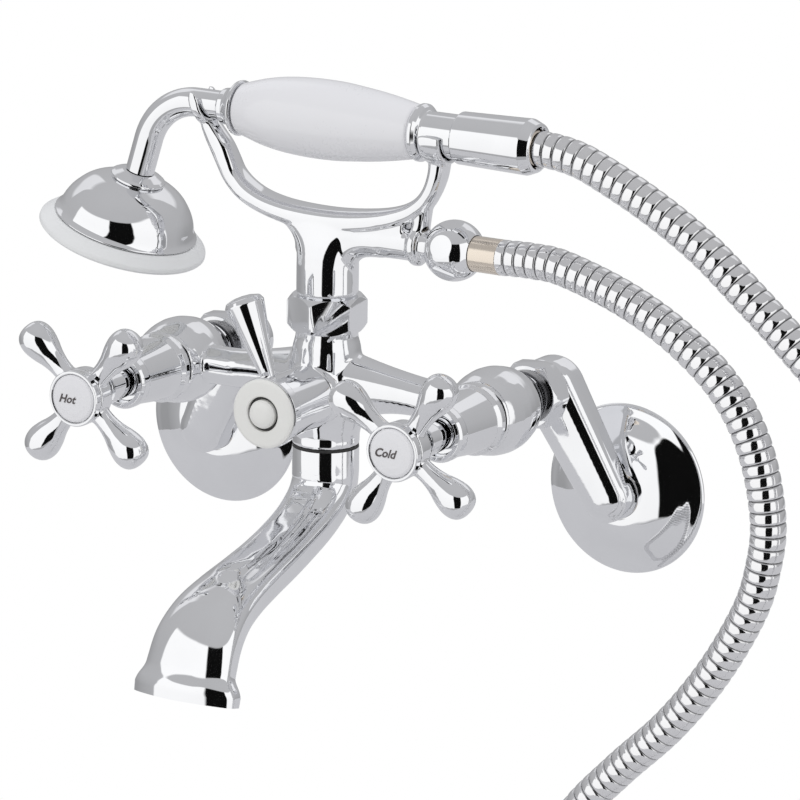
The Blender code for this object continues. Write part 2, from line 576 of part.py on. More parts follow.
def make_hand_shower():
    along_grip = {"place": (0, RISER_Y, HANDSET_Z), "axis": RIGHT}
    points = gooseneck_points()
    gooseneck = loft("gooseneck", "chrome", tube_rings(points, TUBE_RADIUS, 14))
    inner = points[:]
    inner[0] = inner[0] + Vector((2, 0, 0))
    inner[-1] = inner[-1] + head_axis() * 2.0
    combine(gooseneck, [loft("gooseneck_bore_tool", "chrome", tube_rings(inner, 4.9, 10))],
            "DIFFERENCE")
    lathe("front_ferrule", "chrome",
          [(6.5, -52.0), (7.5, -52.0), (8.6, -48.0), (11.6, -44.6), (11.6, -43.2),
           (6.5, -43.2)], sides=18, **along_grip)
    lathe("grip", "porcelain",
          [(4.6, GRIP_FROM), (10.9, GRIP_FROM), (14.0, -32.0), (16.1, -19.5), (16.7, -3.0),
           (16.1, 10.5), (14.2, 29.0), (11.2, GRIP_TO), (4.6, GRIP_TO)], **along_grip)
    tube("tie_tube", "brass", 4.2, 3.0, -42.4, 58.0, sides=14, **along_grip)
    lathe("rear_ferrule", "chrome",
          [(4.5, 43.9), (11.6, 43.9), (12.0, 45.4), (11.4, 46.8), (9.6, 47.8), (9.3, 49.0),
           (9.3, 59.0), (4.5, 59.0)], sides=18, **along_grip)
    lathe("upper_hose_nut", "chrome",
          [(4.5, 59.3), (10.5, 59.3), (10.9, 60.0), (11.6, 90.4), (11.6, 93.2), (9.4, 97.2),
           (7.7, 97.2), (7.7, 66.0), (4.5, 66.0)], sides=18, **along_grip)
    tube("upper_hose_washer", "rubber", 7.2, 3.4, 66.3, 68.3, sides=14, **along_grip)
    lathe("upper_hose_ferrule", "nickel",
          [(4.0, 68.6), (7.3, 68.6), (7.3, HOSE_TO_X - GAP), (4.0, HOSE_TO_X - GAP)],
          sides=SMALL, **along_grip)

    head = {"place": head_top(), "axis": head_axis()}
    lathe("bell_collar", "chrome",
          [(4.9, 0.0), (8.0, 0.0), (11.2, 1.0), (11.9, 2.4), (11.4, 4.0), (4.9, 4.0)],
          sides=18, **head)
    lathe("bell", "chrome",
          [(4.9, 4.3), (11.4, 4.3), (21.0, 6.6), (27.6, 12.4), (30.6, 25.0), (28.8, 25.0),
           (26.0, 14.0), (20.0, 8.8), (4.9, 6.8)], sides=22, **head)
    lathe("face_ring", "white",
          [(28.8, 25.3), (31.2, 25.3), (36.5, 27.8), (35.8, 30.4), (28.8, 32.0)], sides=22, **head)
    lathe("spray_plate", "white",
          [(0, 27.2), (28.4, 27.2), (28.4, 30.0), (0, 30.0)], sides=22, **head)


# ---------------------------------------------------------------- hose and its ends
BALL_X = 61.6
HOSE_STRAIGHT = 4.0           # the hose leaves each ferrule straight for this far
HOSE_ROUTE = (                # X and Z of the hose's centre, from the cradle to the hand shower
    (HOSE_FROM_X + GAP, OUTLET_Z), (99, 115), (114.5, 113.6), (143, 104.6), (168.5, 91.3),
    (190, 73.3), (204, 50.5), (210.8, 22), (209, 0), (203, -19.6), (188, -47), (168.5, -73),
    (145.3, -96.7), (125, -120), (111, -148), (103, -182), (100, -222), (100, -270),
    (101.5, -320), (106, -364), (118, -402), (139, -433), (168, -453), (200, -460),
    (232, -452), (259, -431), (277, -400), (287, -360), (292, -310), (294.5, -255),
    (295.5, -200), (295, -145), (292.5, -90), (287, -38), (276.5, 8), (261, 45.5),
    (241, 75), (219, 96.5), (198, 114.2), (177.6, 130.4), (154.8, 144.2), (131, 155.6),
    (117, 160.6), (HOSE_TO_X, HANDSET_Z))


def make_hose():
    outlet = {"place": (0, RISER_Y, OUTLET_Z), "axis": RIGHT}
    nut = lathe("lower_hose_nut", "chrome",
                [(0, BALL_X - 12.6)] + [(r, BALL_X + x) for r, x in
                                        arc((0, 0), 12.9, -65.0, 52.0, 6)]
                + [(0, BALL_X + 10.4)], sides=18, **outlet)
    combine(nut, [hexagon("ball_flats_form", "chrome", 23.8, 40.0, 80.0, roll=-18.0, **outlet)],
            "INTERSECT")
    combine(nut, [rod("ball_bore_tool", "chrome", 7.8, 57.8, 90.0, sides=SMALL, **outlet),
                  rod("ball_neck_tool", "chrome", 6.7, 30.0, 70.0, sides=SMALL, **outlet)],
            "DIFFERENCE")
    tube("lower_hose_washer", "rubber", 6.3, 3.4, 57.3, 59.0, sides=14, **outlet)
    lathe("lower_hose_ferrule", "nickel",
          [(4.0, 59.3), (7.4, 59.3), (7.4, HOSE_FROM_X), (4.0, HOSE_FROM_X)],
          sides=SMALL, **outlet)

    route = smooth_curve([(x, RISER_Y, z) for x, z in HOSE_ROUTE], HOSE_POINTS,
                         start=(HOSE_FROM_X - 12, RISER_Y, OUTLET_Z),
                         end=(HOSE_TO_X - 12, RISER_Y, HANDSET_Z))
    straight = Vector((HOSE_STRAIGHT, 0, 0))
    route.insert(1, route[0] + straight)
    route.insert(-1, route[-1] + straight)
    curve = bpy.data.curves.new("hose", "CURVE")
    curve.dimensions = "3D"
    curve.bevel_depth = HOSE_RADIUS * MM
    curve.bevel_resolution = 2
    curve.use_fill_caps = True
    spline = curve.splines.new("POLY")
    spline.points.add(len(route) - 1)
    for point, place in zip(spline.points, route):
        point.co = (*(place * MM), 1.0)
    hose = bpy.data.objects.new("hose", curve)
    curve.materials.append(finish_for("hose", "steel"))
    bpy.context.scene.collection.objects.link(hose)


def main():
    clear_scene()
    make_main_body()
    for word, side in (("hot", -1), ("cold", 1)):
        make_valve(word, side)
    make_diverter()
    make_spout()
    for word, side in (("left", -1), ("right", 1)):
        make_wall_connection(word, side)
    make_riser()
    make_hand_shower()
    make_hose()


main()
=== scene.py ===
import math

import bmesh
import bpy
from mathutils import Matrix, Vector


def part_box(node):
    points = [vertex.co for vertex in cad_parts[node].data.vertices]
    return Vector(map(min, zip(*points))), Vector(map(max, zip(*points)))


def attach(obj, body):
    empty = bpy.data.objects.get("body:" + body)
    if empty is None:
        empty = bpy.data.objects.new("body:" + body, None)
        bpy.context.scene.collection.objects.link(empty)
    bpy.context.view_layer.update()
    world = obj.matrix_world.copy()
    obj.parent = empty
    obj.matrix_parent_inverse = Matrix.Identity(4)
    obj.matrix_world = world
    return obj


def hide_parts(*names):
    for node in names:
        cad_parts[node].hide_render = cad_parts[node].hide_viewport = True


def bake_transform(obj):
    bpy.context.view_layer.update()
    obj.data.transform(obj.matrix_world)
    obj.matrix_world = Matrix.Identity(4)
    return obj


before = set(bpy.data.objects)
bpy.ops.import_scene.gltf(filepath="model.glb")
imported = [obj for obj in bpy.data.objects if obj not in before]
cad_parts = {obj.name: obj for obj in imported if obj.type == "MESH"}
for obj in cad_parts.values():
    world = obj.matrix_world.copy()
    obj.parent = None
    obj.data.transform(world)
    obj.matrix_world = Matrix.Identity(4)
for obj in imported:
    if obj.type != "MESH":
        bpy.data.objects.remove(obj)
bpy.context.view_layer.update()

mm = 0.001
forward, upward, rightward = Vector((0, -1, 0)), Vector((0, 0, 1)), Vector((1, 0, 0))
valve = {"x": 78.0, "z": 46.9}    # the valves' axes
riserY = -81.4                    # vertical line through spout, hub and cradle
handsetZ = 162.6                  # grip's middle line
outletZ = 114.6                   # hose outlet's middle line
diverterZ = 46.2                  # diverter's axis

# Camera
cameraSetup = {
    "target": (0.02511, -0.06240, 0.04109), "distance": 2.20833, "azimuth": 30.76,
    "elevation": 14.57, "roll": 0.87, "lens": 233.85, "sensor": 36.0, "far": 50.0}


def placeCamera():
    around = math.radians(cameraSetup["azimuth"])
    height = math.radians(cameraSetup["elevation"])
    tilt = math.radians(cameraSetup["roll"])
    look = Vector((-math.sin(around) * math.cos(height), math.cos(around) * math.cos(height),
                   -math.sin(height)))
    side = Vector((math.cos(around), math.sin(around), 0))
    top = side.cross(look)
    right = side * math.cos(tilt) + top * math.sin(tilt)
    top = top * math.cos(tilt) - side * math.sin(tilt)
    eye = Vector(cameraSetup["target"]) - look * cameraSetup["distance"]
    bpy.ops.object.camera_add()
    camera = bpy.context.object
    camera.name = "mainCamera"
    turn = Matrix((right, top, -look)).transposed().to_4x4()
    camera.matrix_world = Matrix.Translation(eye) @ turn
    camera.data.lens = cameraSetup["lens"]
    camera.data.sensor_width = cameraSetup["sensor"]
    camera.data.clip_end = cameraSetup["far"]
    bpy.context.scene.camera = camera


placeCamera()
bpy.context.scene.view_settings.view_transform = "Standard"
print("camera placed")


# Shader expressions
class Wire:      # a socket that takes part in sums
    def __init__(self, tree, socket):
        self.tree, self.socket = tree, socket

    def node(self, kind, settings=None, outlet=0, **values):
        return addNode(self.tree, kind, settings, outlet, **values)

    def math(self, operation, *others):
        made = self.tree.nodes.new("ShaderNodeMath")
        made.operation = operation
        for index, value in enumerate((self,) + others):
            plug(made.inputs[index], value)
        return Wire(self.tree, made.outputs[0])

    def __add__(self, other):
        return self.math("ADD", other)

    __radd__ = __add__

    def __mul__(self, other):
        return self.math("MULTIPLY", other)

    __rmul__ = __mul__

    def __sub__(self, other):
        return self.math("SUBTRACT", other)

    def __rsub__(self, other):
        return (self * -1.0) + other

    def part(self, index):      # one number of a vector
        return self.node("ShaderNodeSeparateXYZ", outlet=index, Vector=self)


def plug(socket, value):
    if isinstance(value, Wire):
        value.tree.links.new(value.socket, socket)
    else:
        socket.default_value = value


def addNode(tree, kind, settings=None, outlet=0, **values):
    made = tree.nodes.new(kind)
    for name, value in (settings or {}).items():
        setattr(made, name, value)
    for name, value in values.items():
        place = int(name[2:]) if name.startswith("at") else name.replace("_", " ")
        plug(made.inputs[place], value)
    return Wire(tree, made.outputs[outlet])


def mixColour(share, first, second):
    return share.node("ShaderNodeMix", {"data_type": "RGBA"}, 2, at0=share, at6=(*first, 1.0),
                      at7=(*second, 1.0))


def startFinish(name, colour, roughness, metallic, **fixed):
    finish = bpy.data.materials.new(name)
    finish.use_nodes = True
    tree = finish.node_tree
    shader = tree.nodes["Principled BSDF"]
    shader.inputs["Base Color"].default_value = (*colour, 1.0)
    shader.inputs["Roughness"].default_value = roughness
    shader.inputs["Metallic"].default_value = metallic
    for label, value in fixed.items():
        shader.inputs[label.replace("_", " ")].default_value = value
    spot = addNode(tree, "ShaderNodeTexCoord", outlet=3)
    return finish, shader.inputs, spot


def paint(inputs, share, first, second, rough):      # two colours and a roughness
    plug(inputs["Base Color"], mixColour(share, first, second))
    plug(inputs["Roughness"], rough)


def noise(spot, scale, detail=2.0, roughness=0.5, distortion=0.0):
    return spot.node("ShaderNodeTexNoise", Vector=spot, Scale=scale, Detail=detail,
                     Roughness=roughness, Distortion=distortion)


def stretched(spot, x, y, z):
    return spot.node("ShaderNodeMapping", Vector=spot, Scale=(x, y, z))


def bump(inputs, height, strength, distance):
    plug(inputs["Normal"], height.node("ShaderNodeBump", Height=height, Strength=strength,
                                       Distance=distance))


# Finishes
def chromeFinish(name, wave=0.06, haze=0.035, colour=(0.90, 0.905, 0.92)):
    finish, inputs, spot = startFinish(name, colour, haze, 1.0)
    smear = noise(spot, 38.0, 3.0, 0.55, 0.6)        # wiped water film
    fine = noise(spot, 420.0, 2.0)
    dots = noise(spot, 1500.0, 1.0)
    tone = smear.node("ShaderNodeMapRange", Value=smear, From_Min=0.3, From_Max=0.7,
                      To_Min=0.0, To_Max=1.0)
    paint(inputs, tone, [c * 0.965 for c in colour], colour,
          smear * haze * 0.9 + fine * haze * 0.5 + haze * 0.35)
    polish = noise(spot, 55.0, 2.0) * 1.0 + noise(spot, 170.0, 1.0) * 0.25 + dots * 0.012
    bump(inputs, polish, wave, 0.0006)
    return finish


def hoseFinish():      # painted shade: darker in the grooves between the rings
    finish, inputs, spot = startFinish("hoseSteel", (0.86, 0.86, 0.87), 0.08, 1.0)
    # the groove attribute carries painted shade: the colour darkens in the grooves, where shade
    # falls
    groove = spot.node("ShaderNodeAttribute", {"attribute_name": "groove"}, 2)
    smear = noise(spot, 90.0, 3.0)
    drawn = noise(spot, 900.0, 2.0)
    paint(inputs, groove, (0.88, 0.88, 0.89), (0.16, 0.16, 0.165),
          groove * 0.30 + smear * 0.05 + drawn * 0.04 + 0.03)
    bump(inputs, drawn * 0.3 + smear, 0.08, 0.0004)
    return finish


def nickelFinish():
    finish, inputs, spot = startFinish("satinNickel", (0.83, 0.74, 0.64), 0.22, 1.0)
    rings = noise(stretched(spot, 2600.0, 60.0, 60.0), 1.0, 2.0)
    smear = noise(spot, 60.0, 2.0)
    paint(inputs, smear, (0.86, 0.78, 0.68), (0.79, 0.70, 0.60),
          rings * 0.10 + smear * 0.08 + 0.10)
    bump(inputs, rings, 0.12, 0.0002)
    return finish


def brassFinish():
    finish, inputs, spot = startFinish("machinedBrass", (0.74, 0.53, 0.24), 0.30, 1.0)
    rings = noise(stretched(spot, 120.0, 2400.0, 120.0), 1.0, 2.0)
    tarnish = noise(spot, 45.0, 4.0, 0.6)
    paint(inputs, tarnish, (0.80, 0.60, 0.30), (0.60, 0.40, 0.17),
          rings * 0.18 + tarnish * 0.20 + 0.12)
    bump(inputs, rings, 0.25, 0.0003)
    return finish


def screwFinish():
    finish, inputs, spot = startFinish("screwSteel", (0.66, 0.66, 0.67), 0.25, 1.0)
    grain = noise(spot, 700.0, 3.0)
    paint(inputs, grain, (0.72, 0.72, 0.73), (0.55, 0.55, 0.56), grain * 0.25 + 0.12)
    return finish


def porcelainFinish():
    finish, inputs, spot = startFinish("glazedPorcelain", (0.83, 0.83, 0.86), 0.28, 0.0,
                                             Coat_Roughness=0.06, Specular_IOR_Level=0.45)
    cloud = noise(spot, 24.0, 3.0)
    speck = noise(spot, 800.0, 2.0)
    paint(inputs, cloud, (0.815, 0.815, 0.845), (0.85, 0.85, 0.87),
          cloud * 0.10 + speck * 0.06 + 0.20)
    plug(inputs["Coat Weight"], cloud * 0.15 + 0.45)
    bump(inputs, noise(spot, 70.0, 2.0) + speck * 0.02, 0.10, 0.0005)
    return finish


def plasticFinish(name, colour, rough):
    finish, inputs, spot = startFinish(name, colour, rough, 0.0, Specular_IOR_Level=0.4)
    cloud = noise(spot, 40.0, 3.0)
    pitted = noise(spot, 1300.0, 3.0)
    paint(inputs, cloud, colour, [c * 0.955 for c in colour],
          cloud * 0.10 + pitted * 0.10 + rough - 0.08)
    bump(inputs, pitted + cloud * 0.5, 0.08, 0.0002)
    return finish


def rubberFinish():
    finish, inputs, spot = startFinish("blackRubber", (0.02, 0.02, 0.021), 0.6, 0.0)
    dust = noise(spot, 160.0, 4.0, 0.65)
    paint(inputs, dust, (0.016, 0.016, 0.017), (0.045, 0.044, 0.042), dust * 0.25 + 0.45)
    bump(inputs, noise(spot, 2200.0, 2.0), 0.3, 0.0002)
    return finish


def inkFinish():
    finish, inputs, spot = startFinish("firedInk", (0.05, 0.04, 0.04), 0.35, 0.0)
    wear = noise(spot, 900.0, 3.0)
    paint(inputs, wear, (0.035, 0.030, 0.030), (0.12, 0.10, 0.10), wear * 0.2 + 0.25)
    return finish


finishes = {"chrome": chromeFinish("polishedChrome"),
            "castChrome": chromeFinish("castChrome", 0.10, 0.04),
            "thread": chromeFinish("threadChrome", 0.05, 0.10, (0.30, 0.30, 0.31)),
            "steel": screwFinish(), "hose": hoseFinish(), "nickel": nickelFinish(),
            "brass": brassFinish(), "porcelain": porcelainFinish(), "ink": inkFinish(),
            "white": plasticFinish("satinWhite", (0.86, 0.86, 0.835), 0.34),
            "ringWhite": plasticFinish("clearWhite", (0.83, 0.84, 0.845), 0.30),
            "rubber": rubberFinish()}
print("finishes ready:", len(finishes))


# Modelling tools
def freeHands():      # nothing selected, object mode
    if bpy.context.object and bpy.context.object.mode != "OBJECT":
        bpy.ops.object.mode_set(mode="OBJECT")
    bpy.ops.object.select_all(action="DESELECT")


def pick(*objects):
    freeHands()
    for obj in objects:
        obj.select_set(True)
    bpy.context.view_layer.objects.active = objects[0]


def applyAll(obj):
    pick(obj)
    for step in list(obj.modifiers):
        bpy.ops.object.modifier_apply(modifier=step.name)


def closeEdit():      # faces outward, back to object mode
    bpy.ops.mesh.select_all(action="SELECT")
    bpy.ops.mesh.normals_make_consistent(inside=False)
    bpy.ops.object.mode_set(mode="OBJECT")


def openEdges():      # selects only the edges that bound a hole
    bpy.ops.mesh.select_mode(type="EDGE")
    bpy.ops.mesh.select_all(action="DESELECT")
    bpy.ops.mesh.select_non_manifold()


def bake(obj):      # the object's place goes into its mesh
    obj.data.transform(obj.matrix_world)
    obj.matrix_world = Matrix.Identity(4)


def dress(obj, name, finish, sharp=38.0):
    pick(obj)
    obj.name = name
    obj.data.name = name
    obj.data.materials.clear()
    obj.data.materials.append(finishes[finish])
    bpy.ops.object.shade_smooth_by_angle(angle=math.radians(sharp))
    return obj


def along(direction, place=(0, 0, 0), roll=0.0):      # frame whose Z runs along direction
    turn = upward.rotation_difference(Vector(direction)).to_matrix().to_4x4()
    return (Matrix.Translation(Vector(place) * mm) @ turn
            @ Matrix.Rotation(math.radians(roll), 4, "Z"))


def softened(profile, closed):      # rounds the corners of a section of (radius, height, fillet)
    points = [(Vector(p[:2]), p[2] if len(p) > 2 else 0.25) for p in profile]
    made = []
    count = len(points)
    for index, (here, fillet) in enumerate(points):
        if not closed and index in (0, count - 1):
            made.append(here)
            continue
        before, after = points[index - 1][0], points[(index + 1) % count][0]
        inward, outward = (before - here), (after - here)
        if inward.length < 1e-6 or outward.length < 1e-6:
            continue
        turn = math.pi - inward.angle(outward)
        if fillet <= 0 or turn < math.radians(4):
            made.append(here)
            continue
        reach = min(fillet * math.tan(turn / 2), 0.42 * inward.length, 0.42 * outward.length)
        start, end = here + inward.normalized() * reach, here + outward.normalized() * reach
        steps = max(2, int(math.degrees(turn) / 20))
        hold = min(0.12, reach * 0.35)
        made.append(start + inward.normalized() * hold)
        for step in range(steps + 1):
            t = step / steps
            made.append(start * (1 - t) ** 2 + here * 2 * t * (1 - t) + end * t * t)
        made.append(end + outward.normalized() * hold)
    return made


def flowing(points, steps=6):      # smooth line through points of any size
    ends = [points[0]] + list(points) + [points[-1]]
    made = []
    for a, b, c, d in zip(ends, ends[1:], ends[2:], ends[3:]):
        for step in range(steps):
            t = step / steps
            made.append(tuple(0.5 * (2 * q + (r - p) * t + (2 * p - 5 * q + 4 * r - s) * t * t
                                     + (3 * q - p - 3 * r + s) * t ** 3)
                              for p, q, r, s in zip(a, b, c, d)))
    made.append(tuple(points[-1]))
    return made


def turned(name, finish, profile, place=(0, 0, 0), axis=upward, steps=72, sharp=38.0,
           raw=False):      # an outline spun about its axis, as on a lathe
    closed = profile[0][0] > 0 or profile[-1][0] > 0
    outline = [Vector(p[:2]) for p in profile] if raw else softened(profile, closed)
    freeHands()
    bpy.ops.mesh.primitive_plane_add(size=mm)
    obj = bpy.context.object
    bpy.ops.object.mode_set(mode="EDIT")
    bpy.ops.mesh.select_all(action="SELECT")
    bpy.ops.mesh.merge(type="CENTER")
    bpy.ops.transform.translate(value=(outline[0].x * mm, 0, outline[0].y * mm))
    for last, point in zip(outline, outline[1:]):
        shift = (point - last) * mm
        bpy.ops.mesh.extrude_region_move(TRANSFORM_OT_translate={"value": (shift.x, 0, shift.y)})
    bpy.ops.mesh.select_all(action="SELECT")
    if closed:      # joins the outline's two ends
        mesh = bmesh.from_edit_mesh(obj.data)
        for vert in mesh.verts:
            vert.select = len(vert.link_edges) == 1
        mesh.select_flush_mode()
        bmesh.update_edit_mesh(obj.data)
        bpy.ops.mesh.edge_face_add()
        bpy.ops.mesh.select_all(action="SELECT")
    bpy.ops.mesh.spin(steps=steps, angle=math.tau, center=(0, 0, 0), axis=(0, 0, 1))
    bpy.ops.mesh.select_all(action="SELECT")
    bpy.ops.mesh.remove_doubles(threshold=2e-6)
    closeEdit()
    obj.matrix_world = along(axis, place)
    bake(obj)
    return dress(obj, name, finish, sharp)


def skinned(name, finish, rings, capped=True, sharp=38.0):      # a skin over rings
    freeHands()
    count, rows = len(rings[0]), len(rings)
    bpy.ops.mesh.primitive_grid_add(x_subdivisions=count, y_subdivisions=rows - 1, size=1)
    obj = bpy.context.object
    for row, ring in enumerate(rings):
        for column in range(count + 1):
            obj.data.vertices[row * (count + 1) + column].co = ring[column % count]
    bpy.ops.object.mode_set(mode="EDIT")
    bpy.ops.mesh.select_all(action="SELECT")
    bpy.ops.mesh.remove_doubles(threshold=1e-6)
    if capped:
        openEdges()
        bpy.ops.mesh.fill_holes(sides=0)
        bpy.ops.mesh.select_mode(type="VERT")
    closeEdit()
    obj.matrix_world = Matrix.Identity(4)
    return dress(obj, name, finish, sharp)


def oval(centre, side, rise, wide, high, power=2.0, count=32):      # ring of points, in mm
    ring = []
    for step in range(count):
        angle = math.tau * step / count
        x, y = math.cos(angle), math.sin(angle)
        ring.append((Vector(centre) + Vector(side) * wide * math.copysign(abs(x) ** (2 / power), x)
                     + Vector(rise) * high * math.copysign(abs(y) ** (2 / power), y)) * mm)
    return ring


def pipeRings(points, radii, count=32):      # round rings square to a path in a plane y = constant
    rings = []
    for index, point in enumerate(points):
        before, after = points[max(index - 1, 0)], points[min(index + 1, len(points) - 1)]
        ahead = (after - before).normalized()
        side = Vector((0, 1, 0))
        radius = radii[index] if isinstance(radii, (list, tuple)) else radii
        rings.append(oval(point, side, ahead.cross(side), radius, radius, count=count))
    return rings


def fused(name, finish, parts, voxel, rounds, sharp=60.0):      # one casting, soft joins
    pick(*parts)
    bpy.ops.object.join()
    obj = bpy.context.object
    grid = obj.modifiers.new("grid", "REMESH")
    grid.mode, grid.voxel_size = "VOXEL", voxel * mm
    soft = obj.modifiers.new("soft", "SMOOTH")
    soft.factor, soft.iterations = 0.5, rounds
    applyAll(obj)
    return dress(obj, name, finish, sharp)


def carve(obj, *tools, operation="DIFFERENCE"):
    for tool in tools:
        step = obj.modifiers.new("carve", "BOOLEAN")
        step.operation, step.solver, step.object = operation, "EXACT", tool
    applyAll(obj)
    for tool in tools:
        bpy.data.objects.remove(tool)
    return obj


def bevelled(obj, width, angle, segments):
    step = obj.modifiers.new("edges", "BEVEL")
    step.width, step.segments, step.angle_limit = width * mm, segments, math.radians(angle)
    applyAll(obj)
    return obj


def hexBlock(name, finish, place, axis, flats, low, high, roll, chamfer):      # nut blank
    freeHands()
    bpy.ops.mesh.primitive_cylinder_add(vertices=6, radius=flats / math.sqrt(3) * mm,
                                        depth=(high - low) * mm)
    obj = bpy.context.object
    obj.location.z = (high + low) * 0.5 * mm
    bpy.context.view_layer.update()
    bake(obj)
    corner = flats / math.sqrt(3)
    cone = turned("cone", finish, [(0, low - 0.5), (flats / 2 - 0.3, low - 0.5), (flats / 2, low),
                                   (corner + 0.4, low + chamfer), (corner + 0.4, high - chamfer),
                                   (flats / 2, high), (flats / 2 - 0.3, high + 0.5),
                                   (0, high + 0.5)], raw=True, steps=96)
    carve(obj, cone, operation="INTERSECT")
    bevelled(obj, width=0.35, angle=25.0, segments=3)
    obj.matrix_world = along(axis, place, roll)
    bake(obj)
    return dress(obj, name, finish, 30.0)


def finishPiece(obj, body, *nodes):      # it stands for these nodes and moves with this body
    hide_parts(*nodes)
    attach(obj, body)


def turnedPiece(name, finish, profile, body, node, **more):
    finishPiece(turned(name, finish, profile, **more), body, node)


# The hose, first, because its route rules the box
hose = {      # ring rows: share of the pitch, radius, painted groove shade
    "pitch": 5, "length": 1.5, "sides": 24,
    "route": ((83.6, 114.6), (99, 115), (114.5, 113.6), (143, 104.6), (168.5, 91.3), (190, 73.3),
        (204, 50.5), (210.8, 22), (209, 0), (203, -19.6), (188, -47), (168.5, -73), (145.3, -96.7),
        (125, -120), (111, -148), (103, -182), (100, -222), (100, -270), (101.5, -320),
        (106, -364), (118, -402), (139, -433), (168, -453), (200, -460), (232, -452), (259, -431),
        (277, -400), (287, -360), (292, -310), (294.5, -255), (295.5, -200), (295, -145),
        (292.5, -90), (287, -38), (276.5, 8), (261, 45.5), (241, 75), (219, 96.5), (198, 114.2),
        (177.6, 130.4), (154.8, 144.2), (131, 155.6), (117, 160.6), (100.6, 162.6)),
    "ring": ((0.00, 6.80, 1), (0.045, 6.95, 0.8), (0.09, 7.22, 0.12), (0.17, 7.38, 0),
        (0.34, 7.47, 0), (0.56, 7.50, 0), (0.78, 7.46, 0), (0.91, 7.34, 0), (0.96, 7.10, 0.35)),
    "fine": 0.25, "between": 40}


def hosePath():
    route = hose["route"]
    knots = [Vector((2 * route[0][0] - route[1][0], route[0][1]))]
    knots += [Vector(p) for p in route]
    knots.append(Vector((2 * route[-1][0] - route[-2][0], route[-1][1])))
    steps = hose["between"]
    line = [Vector((x, z)) for x, z in flowing([tuple(k) for k in knots], steps)]
    return line[steps:-steps]


def walk(line, step):      # points at even steps along a line, and the line's length
    run = [0.0]
    for a, b in zip(line, line[1:]):
        run.append(run[-1] + (b - a).length)
    total, made, index = run[-1], [], 0
    count = max(1, round(total / step))
    for number in range(count + 1):
        goal = total * number / count
        while index < len(run) - 2 and run[index + 1] < goal:
            index += 1
        share = (goal - run[index]) / max(run[index + 1] - run[index], 1e-9)
        made.append(line[index].lerp(line[index + 1], share))
    return made, total


def buildHose():
    line = hosePath()
    ends, total = walk(line, hose["pitch"])
    pitches = len(ends) - 1
    fine, _ = walk(line, hose["fine"])
    step = total / (len(fine) - 1)
    centres, radii, shade = [], [], []
    for number in range(pitches):
        for share, radius, paintedGrooveShade in hose["ring"]:
            at = (number + share) * total / pitches / step
            low = min(int(at), len(fine) - 2)
            point = fine[low].lerp(fine[low + 1], at - low)
            centres.append(Vector((point.x, riserY, point.y)))
            radii.append(radius)
            shade.append(paintedGrooveShade)
    centres.append(Vector((fine[-1].x, riserY, fine[-1].y)))
    radii.append(hose["ring"][0][1])
    shade.append(1.0)
    obj = skinned("metalHose", "hose", pipeRings(centres, radii, hose["sides"]), sharp=80.0)
    # the groove attribute holds the painted shade for each ring row's groove
    grooveShadeLayer = obj.data.attributes.new("groove", "FLOAT", "POINT")
    grooveShadeLayer.data.foreach_set("value", [shade[min(index // hose["sides"], len(shade) - 1)]
                                    for index in range(len(obj.data.vertices))])
    path = [Vector((p.x, riserY, p.y)) * mm for p in ends]
    print("hose", round(total, 1), "mm in", pitches, "rings")
    return obj, path


hosePiece, hoseLine = buildHose()
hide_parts("hose")
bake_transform(hosePiece)

# Body casting
casting = {
    "hub": [(0, 22.8), (13.9, 22.8, 0.3), (14.4, 23.4, 0.4), (14.4, 27.5, 2), (16.6, 37, 6),
        (16.8, 50, 8), (14.4, 66, 6), (13.3, 70, 3), (13.3, 75.9, 0.4), (0, 75.9)],
    "boss": [(0, 78), (14.6, 78), (14.6, 92, 3), (13.8, 94.5, 1), (13.4, 97.2, 0.5), (0, 97.2)],
    "egg": ((0, 50.9), (8, 50.9), (11.4, 51.2), (11.7, 52.6), (12.4, 55.2), (14.6, 59.4),
        (16.9, 64.4), (18.4, 70.4), (18.7, 75), (18.2, 80), (17, 85), (15.4, 89.2), (14.6, 89.9),
        (13.2, 90.1), (0, 90.1)), "stations": 41, "reachX": 64,
    "arm": {"run": 47, "back": 5.6, "rise": 0.6, "arch": 7.2, "deep": 8.8, "high": 8.4,
        "deepSwell": 8, "highSwell": 11.5}}


def armRing(x):      # one ring of the bar between the valves, thicker near the hub
    arm = casting["arm"]
    reach = min(abs(x) / arm["run"], 1.0)
    swell = (1.0 - reach) ** 2
    centre = (x, riserY + arm["back"] * reach,
              valve["z"] + arm["rise"] + arm["arch"] * reach * (1 - reach))
    return oval(centre, (0, 1, 0), upward, arm["deep"] + arm["deepSwell"] * swell,
                arm["high"] + arm["highSwell"] * swell, count=40)


def valvePlace(side):
    return (side * valve["x"], 0, valve["z"])


def buildCasting():
    span = casting["reachX"]
    count = casting["stations"]
    bar = skinned("bar", "castChrome",
                  [armRing(-span + 2 * span * step / (count - 1)) for step in range(count)])
    parts = [bar, turned("hub", "castChrome", casting["hub"], place=(0, riserY, 0)),
             turned("boss", "castChrome", casting["boss"], place=(0, 0, diverterZ),
                    axis=forward)]
    for side in (-1, 1):
        parts.append(turned("egg", "castChrome", casting["egg"], place=valvePlace(side),
                            axis=forward, steps=96, raw=True))
    body = fused("bodyCasting", "castChrome", parts, voxel=0.6, rounds=12)
    finishPiece(body, "body", "main_body")


buildCasting()
print("body casting done")

